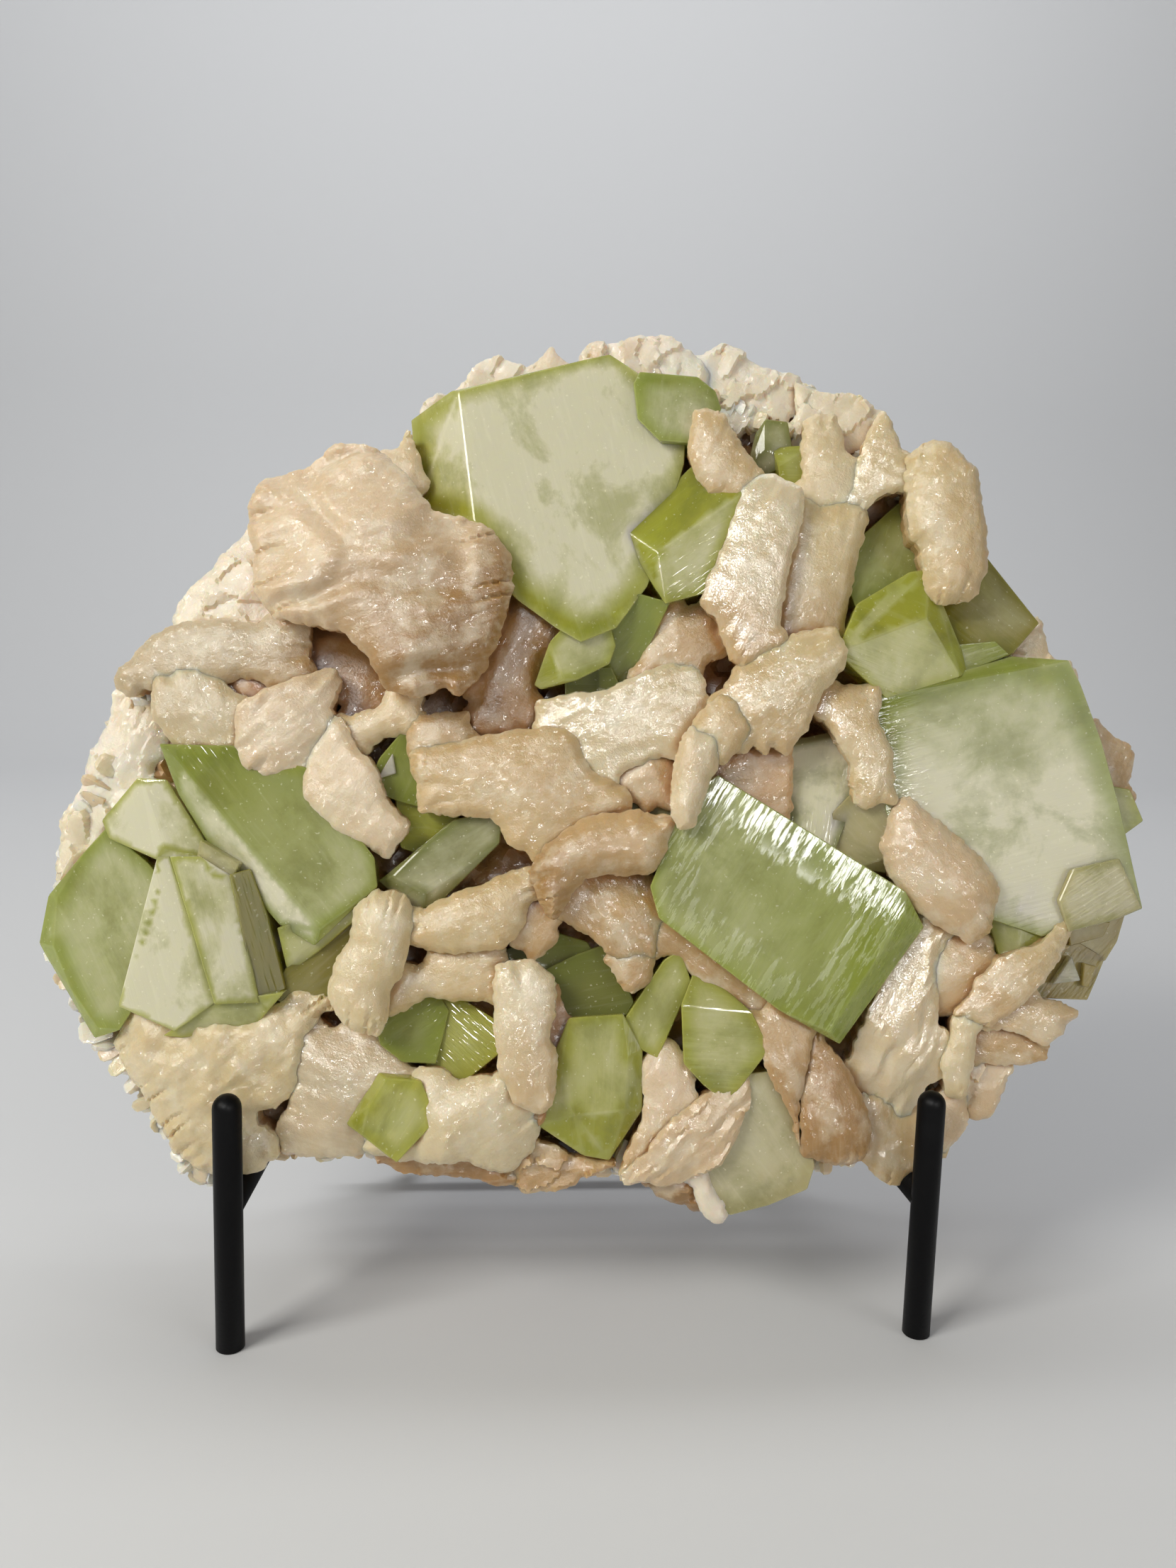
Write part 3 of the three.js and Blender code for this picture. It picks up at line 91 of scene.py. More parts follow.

# Stilbite blades: name, lift of the middle over the plate, tilt, angle of the growth lines, roll of the
# rim, depth, two tones, outline in the face frame, and in what it differs from a plain blade. A fade
# says how much more of the second tone there is to the right and upwards; on most blades it is partly
# painted shade, darker on the side turned from the light at the upper left, and partly a change of tone.
# A stain darkens a blade towards orange and brown, and is painted shade on blades that lie in shadow or in
# recesses.
BLADES = (
    # Painted shade in part: the amber second tone grows towards the lower right, which turns from the light.
    ("rosette", 21, (0.05, -0.04), 15, 4, 30, (PINK, AMBER), (
        (-97.5, 79), (-93.4, 87.6), (-84.7, 89.6), (-79, 91), (-72, 97.2), (-60, 95.8), (-51.5, 88),
        (-44.5, 78), (-38, 77), (-27.3, 72.9), (-22, 65), (-21, 54), (-26, 40), (-32, 29), (-37.3, 24.8),
        (-41.7, 27.4), (-47.5, 24.2), (-58, 26.7), (-61, 34), (-69, 43), (-80, 45), (-90, 47.5), (-95.5, 57),
        (-95, 64), (-97, 71)), dict(crown=5.0, waves=2.2, lobes=2.0, fade=(0.9, -1.3))),
    ("rosette_back", 2, (0, 0), 70, 1.5, 20, (PALE, PEACH), (
        (-58, 92), (-52.5, 97), (-51, 101), (-49, 96), (-45.5, 85), (-52, 84)), dict()),
    ("rim_fan", -2, (0.08, 0), 35, 2, 18, (WHITE, PALE), (
        (-95, 71), (-102, 67), (-106, 61), (-110, 57), (-116.5, 51), (-117, 46), (-98, 43), (-90, 48),
        (-92, 62)), dict(flakes=0.8)),
    ("left_bar", 7, (0.02, 0), 4, 3.5, 24, (SHADED_PALE, TAN), (
        (-130, 36), (-125.6, 41), (-116.7, 45.6), (-102, 47), (-91, 45.6), (-81, 44.4), (-79, 41),
        (-78.7, 33.3), (-85.6, 30.6), (-96.7, 29.4), (-105.6, 32.5), (-123, 31), (-129, 24), (-134.5, 27),
        (-134.5, 32)), dict(fade=(0.3, -0.6))),
    ("recess_prism", 3, (0, 0), 130, 1.5, 18, (PEACH, ORANGE), (
        (-112, 33), (-96, 34), (-86, 31), (-90, 27), (-100, 20), (-107, 27)),
        dict(stain=0.2, crown=0.2, facets=0.2, combed=0.6)),
    ("left_block", 8, (0.03, 0), 110, 2.5, 24, (SHADED_PALE, CREAM), (
        (-123.3, 32.8), (-109, 33.3), (-103.3, 29), (-98, 24.4), (-98, 12.2), (-105.6, 7.2), (-113.3, 7.8),
        (-119, 12.2), (-123.3, 19)), dict(lobes=2.0, facets=0.5)),
    ("left_middle", 10, (0, 0.03), 40, 2, 24, (PINK, SHADED_PALE), (
        (-99.4, 22.2), (-96.7, 24.4), (-85.6, 29), (-72.8, 34), (-70, 29), (-74.4, 20), (-81, 7.8),
        (-83.3, 3.3), (-90, 1.7), (-97.8, 4.4), (-100, 12.2)), dict(facets=1.2, combed=0.5)),
    ("shadowed_blade", -3, (0, -0.1), 40, 2, 18, (PEACH, TAN), (
        (-84, 46), (-69, 45), (-60, 36), (-58, 26), (-68, 18), (-73, 32), (-80, 32)), dict(stain=0.3)),
    ("hanging", 11, (0.03, 0.02), 55, 3, 28, (PINK, PALE), (
        (-74.5, 20), (-69.5, 19), (-66.5, 12), (-60, 5), (-57, -4), (-50, -12), (-57, -22.5), (-62, -18),
        (-72, -13), (-81, -4), (-82, 2), (-80, 9)), dict(facets=0.6, lobes=1.5)),
    ("small_rod", 6, (0, 0), 25, 2.5, 20, (CREAM, PINK), (
        (-70, 17.8), (-52.2, 25.3), (-47.2, 23.3), (-47.2, 18.3), (-54.4, 13.9), (-63.3, 10), (-66, 12)),
        dict(facets=0.4)),
    ("knob", 8, (0, 0), 20, 3, 20, (PEACH, TAN), (
        (-51, 9), (-51, 16), (-47.9, 19.4), (-33.3, 20.8), (-32.7, 12), (-42, 8)), dict()),
    ("long_middle", 12, (-0.02, -0.02), 12, 4, 30, (PEACH, CREAM), (
        (-51, 9.7), (-38.2, 12), (-28.5, 14), (-9, 16.4), (-4.2, 14.5), (1.8, 3.6), (11.5, -1.2),
        (12.7, -4.8), (6.7, -8.5), (-3, -11), (-11.5, -18.2), (-15, -20), (-22, -18), (-26.7, -9.7),
        (-48, -8.5), (-48.5, -4.8)), dict(crown=2.5)),
    ("sparkling_bar", 9, (0, 0.03), 20, 2.5, 26, (PALE, CREAM), (
        (-15.2, 21.8), (-14, 24.2), (5.5, 26.7), (12.7, 31), (22.4, 34.5), (29.7, 34), (34, 29),
        (29.7, 19.4), (25, 9.7), (17.6, 6), (5.5, 1.8), (3, 3.6), (-4.2, 14.5), (-14.5, 16.4)),
        dict(gloss=0.9, facets=0.5, combed=0.3)),
    ("under_bar", 6, (0, 0), 70, 2, 22, (PEACH, PINK), (
        (7, 3), (18, 8), (26, 10), (25, -3), (21, -6), (12, -4)), dict(facets=0.8)),
    # Painted shadow: this blade lies in the rosette's shadow, and its dark tones, stain and downward fade
    # paint it.
    ("under_top", 5, (0, 0.03), 65, 4.5, 22, (TAN, AMBER), (
        (-21, 49), (-16, 53), (-8, 53), (-5, 50), (-6, 44), (-14, 32), (-15, 17), (-20, 14.5), (-29, 13),
        (-33, 21), (-33, 27), (-27, 37)), dict(soft=True, crown=2.5, stain=0.35, fade=(0.2, -0.9))),
    ("glossy_diagonal", 15, (0, 0.02), 66, 2.5, 28, (PALE, PEACH), (
        (43, 85.5), (52, 89), (62, 83), (61, 75), (57, 62), (54, 42), (47, 38.5), (40, 35), (36, 47),
        (31.5, 50), (32, 55.5), (38, 68)), dict(gloss=1.0, facets=0.5, fade=(-0.3, -0.9), crown=2.0)),
    ("top_wedge", 13, (0, 0), 70, 2.5, 24, (PEACH, CREAM), (
        (30, 106), (38, 106), (41, 101), (44, 95), (49, 88.5), (41, 81), (35, 82), (31.5, 85), (28, 93)),
        dict(crown=1.5)),
    ("top_right_blade", 6, (0, 0), 75, 3, 22, (CREAM, PALE), (
        (60.5, 102.5), (64, 105), (69, 105.5), (71.5, 101), (74, 89), (73.5, 81), (62, 80), (60, 92)),
        dict(crown=1.5)),
    ("gloss_edge", 7, (0, 0), 80, 2, 22, (CREAM, PALE), (
        (75, 90), (80, 101), (83, 106.5), (85.5, 103), (88.5, 94.5), (90, 90), (89, 84), (80, 80),
        (74, 80.5)), dict(gloss=0.8, facets=0.6)),
    ("tall_right", 13, (0, 0), 82, 4, 28, (CREAM, PEACH), (
        (90, 92.5), (96, 98), (102, 96.7), (109.5, 90), (113, 72), (113.5, 62), (110, 52.5), (98.5, 50.5),
        (95, 56), (94, 67), (90, 70.5)), dict(crown=3.0, fade=(0.9, -0.2), lobes=1.6)),
    ("behind_diagonal", 8, (0, 0), 72, 3.5, 24, (CREAM, TAN), (
        (62, 79), (73.5, 81.5), (80, 77), (77, 66), (74.5, 54.5), (72.5, 44), (63, 43), (57, 41), (56.5, 55),
        (59, 69)), dict(crown=2.5, fade=(0, -0.6))),
    ("small_slope", 7, (0, 0), 35, 2.5, 22, (PEACH, TAN), (
        (22, 49.5), (31.5, 50.5), (36, 46), (37, 36), (30, 32), (25, 35), (19, 33), (12, 31), (15.5, 38)),
        dict(fade=(0.5, -0.6))),
    ("centre_right", 16, (0, 0), 30, 3, 30, (CREAM, PEACH), (
        (40.2, 31.2), (48, 38.4), (60, 43.2), (69.6, 45), (73.2, 40.2), (73.2, 33.6), (66, 25.2),
        (62.4, 15.6), (58.2, 10.8), (56.4, 7.2), (52.5, 11), (50.4, 7.4), (47, 11.5), (45, 8), (42, 14),
        (37, 18), (38, 25)), dict(gloss=0.6, crown=2.0, facets=0.6, combed=0.3, fade=(-0.5, -0.5))),
    # A recess blade, darker and more orange than its neighbours.
    ("stained_recess", 7, (0, 0), 20, 2, 16, (PEACH, ORANGE), (
        (37, 8), (45, 10), (58, 10), (58, -8), (53, -11), (47, -6), (37, 0)), dict(stain=0.12, crown=0.4)),
    ("centre_lobe", 17, (0, 0), 60, 2.5, 24, (PEACH, CREAM), (
        (29.7, 18.2), (37, 26), (41, 24.5), (45.5, 19.4), (46.7, 14.5), (43, 9.7), (38.2, 5.5), (35, 12)),
        dict(crown=2.0, facets=0.5)),
    ("right_of_centre", 12, (0.02, 0), 80, 2.2, 26, (CREAM, PEACH), (
        (66, 24), (71.4, 28.2), (82.8, 28.8), (83.4, 22.8), (81.6, 18), (85.8, 12), (87, 2.4), (86.4, -3.6),
        (80.4, -7.2), (75, -6), (74.4, 6), (69.6, 13.2), (66.6, 19.2)),
        dict(gloss=0.6, crown=1.5, facets=0.6)),
    ("narrow_upright", 18, (0, 0), 80, 3, 26, (PALE, PEACH), (
        (26.7, 14.5), (29.7, 17), (37, 14.5), (37.6, 6), (33.3, -2.4), (31, -12), (26, -13.3), (23, -8.5),
        (23.6, 2.4)), dict(crown=2.0)),
    ("peach_oval", 13, (-0.02, 0.03), 130, 3.5, 28, (PINK, PEACH), (
        (87.6, -4.8), (91.2, -3), (102, -12), (112.8, -21.6), (117, -30), (114, -42), (109, -45.5),
        (104.4, -43.2), (94.8, -38), (85.2, -26.4), (82.8, -16.8)),
        dict(crown=3.5, lobes=1.6, gloss=0.35, facets=0.5, fade=(0.6, -0.3))),
    ("arch", 16, (0, 0), 15, 5, 28, (PEACH, AMBER), (
        (-15.5, -21), (-10, -16), (-3.5, -10.5), (7, -8), (17, -8), (23, -12.5), (24, -16), (19, -25),
        (8, -26), (-1, -27), (-4, -31), (-10, -38), (-16, -27)),
        dict(soft=True, crown=3.0, lobes=1.8, fade=(-0.4, -0.6))),
    ("arch_foot", 8, (0, 0), 120, 2.5, 22, (PEACH, TAN), (
        (-9, -37), (-3, -28), (6, -24), (14, -26), (20, -31), (20, -48), (15, -54), (8, -50), (0, -43)),
        dict(facets=1.0, gloss=0.3, fade=(0, -0.5))),
    ("peach_pebble", 6, (0, 0), 50, 2.5, 20, (PEACH, TAN), (
        (5, -50), (13, -48), (19, -53), (18, -56), (12.5, -60), (9.5, -58)), dict(facets=0.7)),
    ("under_large", 5, (0, 0), 140, 2, 20, (PEACH, TAN), (
        (17, -33), (25, -38), (34, -46), (45, -56), (55, -62), (52, -68), (46, -67), (34, -58), (24, -48),
        (18, -49)), dict(fade=(-0.5, -0.5))),
    ("left_of_arch", 11, (0, 0), 22, 3, 28, (CREAM, PEACH), (
        (-48.8, -36.3), (-35, -30), (-18.8, -23.8), (-16.5, -25), (-15.6, -30), (-18, -40), (-22.5, -46.3),
        (-35, -48), (-46.3, -47.5), (-49.4, -42.5)), dict(crown=2.5, lobes=1.6)),
    ("behind_arch", 6, (0, 0), 60, 2, 20, (PEACH, TAN), (
        (-18, -30), (-10, -36), (-8, -44), (-12.5, -48), (-20, -46)), dict(facets=0.6)),
    ("pillar", 13, (0, 0), 80, 3.5, 28, (CREAM, PALE), (
        (-65.7, -33.5), (-61, -29.7), (-54.5, -30), (-50, -32.3), (-49.4, -39.6), (-51.3, -49), (-53.2, -55),
        (-56.4, -60), (-56, -65.7), (-59, -71.8), (-62, -70.8), (-70, -67.6), (-73.6, -60), (-73, -55),
        (-71, -49), (-68, -44.7)), dict(crown=3.0, lobes=1.6, fade=(-0.7, 0.3))),
    ("shelf", 6, (0, 0), 18, 2.5, 24, (CREAM, PEACH), (
        (-56.3, -63.8), (-52.5, -53.8), (-46, -50.5), (-37.5, -48), (-24.4, -48), (-24, -54), (-27, -61.3),
        (-35.4, -61.3), (-46.2, -60.3), (-52.6, -65)), dict(crown=1.5)),
    ("upright_block", 12, (0, 0), 85, 2.5, 30, (PALE, PEACH), (
        (-27, -51), (-20, -50), (-13.8, -50), (-8.8, -56.3), (-9.2, -65.7), (-10.5, -70), (-8.6, -78.5),
        (-9, -90), (-13.8, -94), (-21.3, -90), (-25, -82.5), (-27, -70)),
        dict(crown=1.5, gloss=0.45, facets=0.4, fade=(0.8, -0.6))),
    # Painted shade: the upright block's side wall, which turns from the light, in tan and orange.
    ("stained_side", 4, (0, 0), 88, 2, 22, (TAN, ORANGE), (
        (-10, -58), (-6, -63), (-5, -74), (-6, -80), (-8, -88), (-12, -96), (-20, -90), (-12, -80)),
        dict(stain=0.3, crown=0.2, facets=0, lumps=0.2)),
    ("bright_dome", 10, (0, 0.02), 30, 2.5, 30, (PALE, CREAM), (
        (-50, -81), (-44.3, -80), (-37.6, -84), (-29, -82.3), (-24, -83.5), (-19.4, -89.3), (-14.3, -94.4),
        (-13.3, -98.6), (-16.3, -106.3), (-20.7, -111), (-24, -112), (-34, -108), (-54.5, -108), (-66, -106),
        (-66, -101), (-52, -98)), dict(crown=3.0, facets=1.3)),
    ("brown_lip", 1, (0, 0.1), 5, 1.6, 22, (TAN, BROWN), (
        (-58, -105), (-20, -104), (-15, -104), (-18, -113), (-24, -114), (-34, -111.5), (-55, -110)),
        dict(flakes=0.5, stain=0.15)),
    ("basal_plates", 0, (0, 0.1), 15, 1.2, 14, (PEACH, TAN), (
        (-18, -103), (-9, -102), (-5, -105.5), (9, -107.5), (2.5, -109.5), (-7.5, -114.4), (-18.8, -116),
        (-20.5, -112.5)), dict(flakes=1.2, combed=0.6, stain=0.1)),
    ("clear_blade", 4, (0, 0), 165, 1.5, 24, (SHADED_PALE, PINK), (
        (-80.3, -69), (-70, -70), (-64, -70.8), (-58.3, -72.7), (-50.7, -79.4), (-50, -86), (-64, -96),
        (-67, -106.5), (-78, -106), (-88, -106), (-90, -98), (-84.8, -90), (-82.2, -80)),
        dict(facets=1.2, gloss=0.4, lumps=0.3)),
    ("lower_left", 4, (0.02, 0.12), 40, 3, 34, (CREAM, PALE), (
        (-137.4, -74.6), (-134, -67), (-129, -64), (-119, -69), (-109.6, -67.5), (-98, -68), (-93, -65),
        (-86, -61), (-83.5, -59), (-76.5, -59), (-73.3, -63), (-80, -70.8), (-82.5, -84.8), (-84, -89),
        (-94, -92.8), (-90, -105), (-91, -109), (-97.5, -110.5), (-109.6, -110.7), (-118.9, -106.5),
        (-122, -99), (-128.4, -88), (-134.5, -81.7)),
        dict(crown=2.0, facets=1.0, lumps=1.0, lobes=2.0, combed=0.3)),
    ("peach_upright", 6, (0, 0.05), 75, 2, 26, (PINK, PEACH), (
        (20, -71.3), (25, -73.8), (30.6, -81.3), (30, -87.5), (20, -97.5), (11.3, -110), (9.5, -110),
        (10, -105), (15.6, -95), (15, -80)), dict(facets=0.6, fade=(0, -0.8))),
    ("fibrous_fan", 8, (0, 0.08), 42, 1.2, 28, (PINK, PEACH), (
        (9.4, -110.6), (15, -105.5), (21.3, -96.5), (32.5, -88.5), (43.8, -82.5), (46.5, -82.5), (46.5, -90),
        (43, -99), (38, -108), (27, -113), (20, -115), (15, -112.5), (10, -114.5)),
        dict(facets=0.6, lumps=0.2, combed=1.6, gloss=0.4)),
    ("brown_scallop", 1, (0, 0.1), 20, 1.6, 20, (TAN, BROWN), (
        (18, -112), (31, -110), (31, -119.5), (24, -118.5), (19, -116.5)), dict(flakes=0.5)),
    ("white_lobe", 3, (0, 0.05), 110, 2, 24, (WHITE, PINK), (
        (29, -110), (33, -109), (36, -114), (40, -120), (38.5, -124.5), (35.5, -124.5), (31, -121)),
        dict(facets=0.5)),
    ("tan_left_face", 8, (0, 0), 110, 2, 28, (TAN, PEACH), (
        (45, -64), (55, -64.5), (64, -70), (62, -80), (60, -90), (60, -104), (57, -93), (52, -85),
        (49, -76)), dict(facets=0.4, fade=(-0.2, 0.9), stain=0.08)),
    ("tan_right_face", 8, (0, 0.04), 95, 2, 28, (TAN, AMBER), (
        (63, -70.8), (69, -74.5), (73, -80), (77.2, -86.7), (80.5, -96.8), (79.2, -106), (75.9, -108.6),
        (67.6, -108), (61, -106), (59.5, -100), (60, -87.4)),
        dict(facets=0.6, crown=2.0, lumps=0.6, stain=0.12)),
    ("gloss_striped", 7, (-0.05, 0.09), 70, 1.5, 30, (PALE, PEACH), (
        (75.7, -72.5), (84.2, -53.3), (94.8, -39.2), (101.4, -36.7), (103.2, -38.7), (102.4, -44.2),
        (99.4, -58.4), (99, -76.6), (96.5, -84.6), (89.3, -98.6), (84.2, -94.4), (79, -90.5), (76.2, -82.6)),
        dict(gloss=1.0, facets=1.2, combed=1.3, lumps=0.3)),
    ("striped_neighbour", 5, (-0.05, 0.05), 30, 1.5, 26, (PEACH, PINK), (
        (101, -43), (109.5, -46.3), (115.6, -44.2), (114.5, -49.3), (110.5, -55.4), (105.9, -63),
        (100.8, -65), (98, -60)), dict(facets=1.0, gloss=0.3)),
    ("right_foot", 0, (-0.08, 0.05), 85, 2.5, 26, (PEACH, CREAM), (
        (79, -90), (98, -92), (99, -104), (91, -111), (88, -114), (85, -114), (80, -109.5)),
        dict(facets=0.6)),
    ("cream_column", 7, (0, 0.05), 82, 2, 28, (CREAM, PALE), (
        (103.4, -66.5), (110, -68.5), (109.5, -76.6), (107, -89.7), (101.4, -88.7), (99.4, -80.6)),
        dict(facets=0.4)),
    ("peach_corner", 1, (-0.03, 0.06), 60, 2, 24, (PINK, PEACH), (
        (98, -88), (107, -88), (108, -96.5), (104.5, -101.5), (99, -107), (97, -98)), dict(facets=0.6)),
    ("right_band", 10, (-0.04, 0), 42, 1.5, 28, (PEACH, CREAM), (
        (138.5, -35.5), (139.8, -40.2), (133.7, -50.3), (125.7, -59.4), (114.5, -69.5), (103.4, -66.5),
        (107.2, -62), (110.5, -55.4), (116.6, -49.3), (121, -47.2), (128, -45.5)),
        dict(facets=0.9, gloss=0.3, fade=(0.8, 0.4))),
    ("right_lower_band", 6, (-0.05, 0), 165, 1.2, 24, (PEACH, PALE), (
        (113, -68), (118.7, -60.6), (126, -59.9), (140.8, -64.4), (134.7, -69.5), (129.7, -74.5),
        (124.6, -71.5)), dict(facets=1.0, gloss=0.5)),
    ("brown_corner", 3, (-0.05, 0), 165, 1.5, 22, (PEACH, TAN), (
        (109, -68), (124.6, -71), (130, -75), (129.7, -77.6), (120.6, -79.8), (109, -79)),
        dict(facets=0.8)),
    ("pink_corner", 1, (-0.05, 0.05), 60, 1.5, 20, (PINK, PEACH), (
        (107, -78), (119.6, -80), (117.6, -86.7), (113.5, -94.3), (109.5, -95.8), (105.5, -91)),
        dict(flakes=0.6, facets=0.6)),
    ("rim_top_left", -6, (0, 0), 60, 1.5, 20, (WHITE, PINK), (
        (-45, 104), (-38, 111), (-30.5, 119.5), (-25.5, 121.5), (-20, 118.5), (-12, 117.5), (-6, 112),
        (-30, 100)), dict(flakes=1.0)),
    ("rim_spike", -5, (0, 0), 70, 1.2, 16, (PINK, WHITE), (
        (-16, 116), (-14.5, 119.5), (-10, 124.5), (-7, 119), (-7, 113), (-14, 112)), dict(flakes=0.3)),
    ("rim_top_middle", -5, (0, 0), 80, 2, 22, (WHITE, PINK), (
        (-6, 112), (-4, 118.5), (0, 124.5), (12, 126.3), (22, 127.2), (30, 121.5), (36, 116), (30, 108),
        (0, 108)), dict(flakes=1.0)),
    ("rim_top_right", -7, (0, 0), 60, 2, 20, (WHITE, PALE), (
        (30, 120), (38.5, 124.5), (44.5, 122), (47, 119), (60.5, 115), (62, 104), (50, 103), (44, 100),
        (36, 104)), dict(flakes=0.8)),
    ("rim_right_shoulder", -4, (0, 0), 60, 2, 20, (PALE, WHITE), (
        (58, 115), (67.5, 110), (75.5, 111), (81.5, 105.5), (80, 90), (70, 86), (60, 96)),
        dict(flakes=0.7)),
    ("rim_behind_block", -5, (0, 0), 30, 1.5, 18, (PINK, PALE), (
        (120, 36), (127, 45.5), (131, 36), (136, 30), (128, 26)), dict(flakes=0.5)),
    ("rim_tan", -6, (0, 0), 60, 1.5, 18, (TAN, PINK), (
        (143, 18), (149.5, 13), (153.5, 11), (154.8, 5.5), (153, 0), (150, -6), (142, 2)),
        dict(flakes=0.5)),
    ("rim_rough_left", -6, (0.05, 0), 70, 2, 20, (WHITE, PALE), (
        (-134, 26), (-136.5, 17.5), (-141.5, 8), (-144, -3), (-148.5, -8), (-151.2, -28), (-143, -24),
        (-134, -10), (-122, 6), (-121, 20)), dict(flakes=1.0)),
)

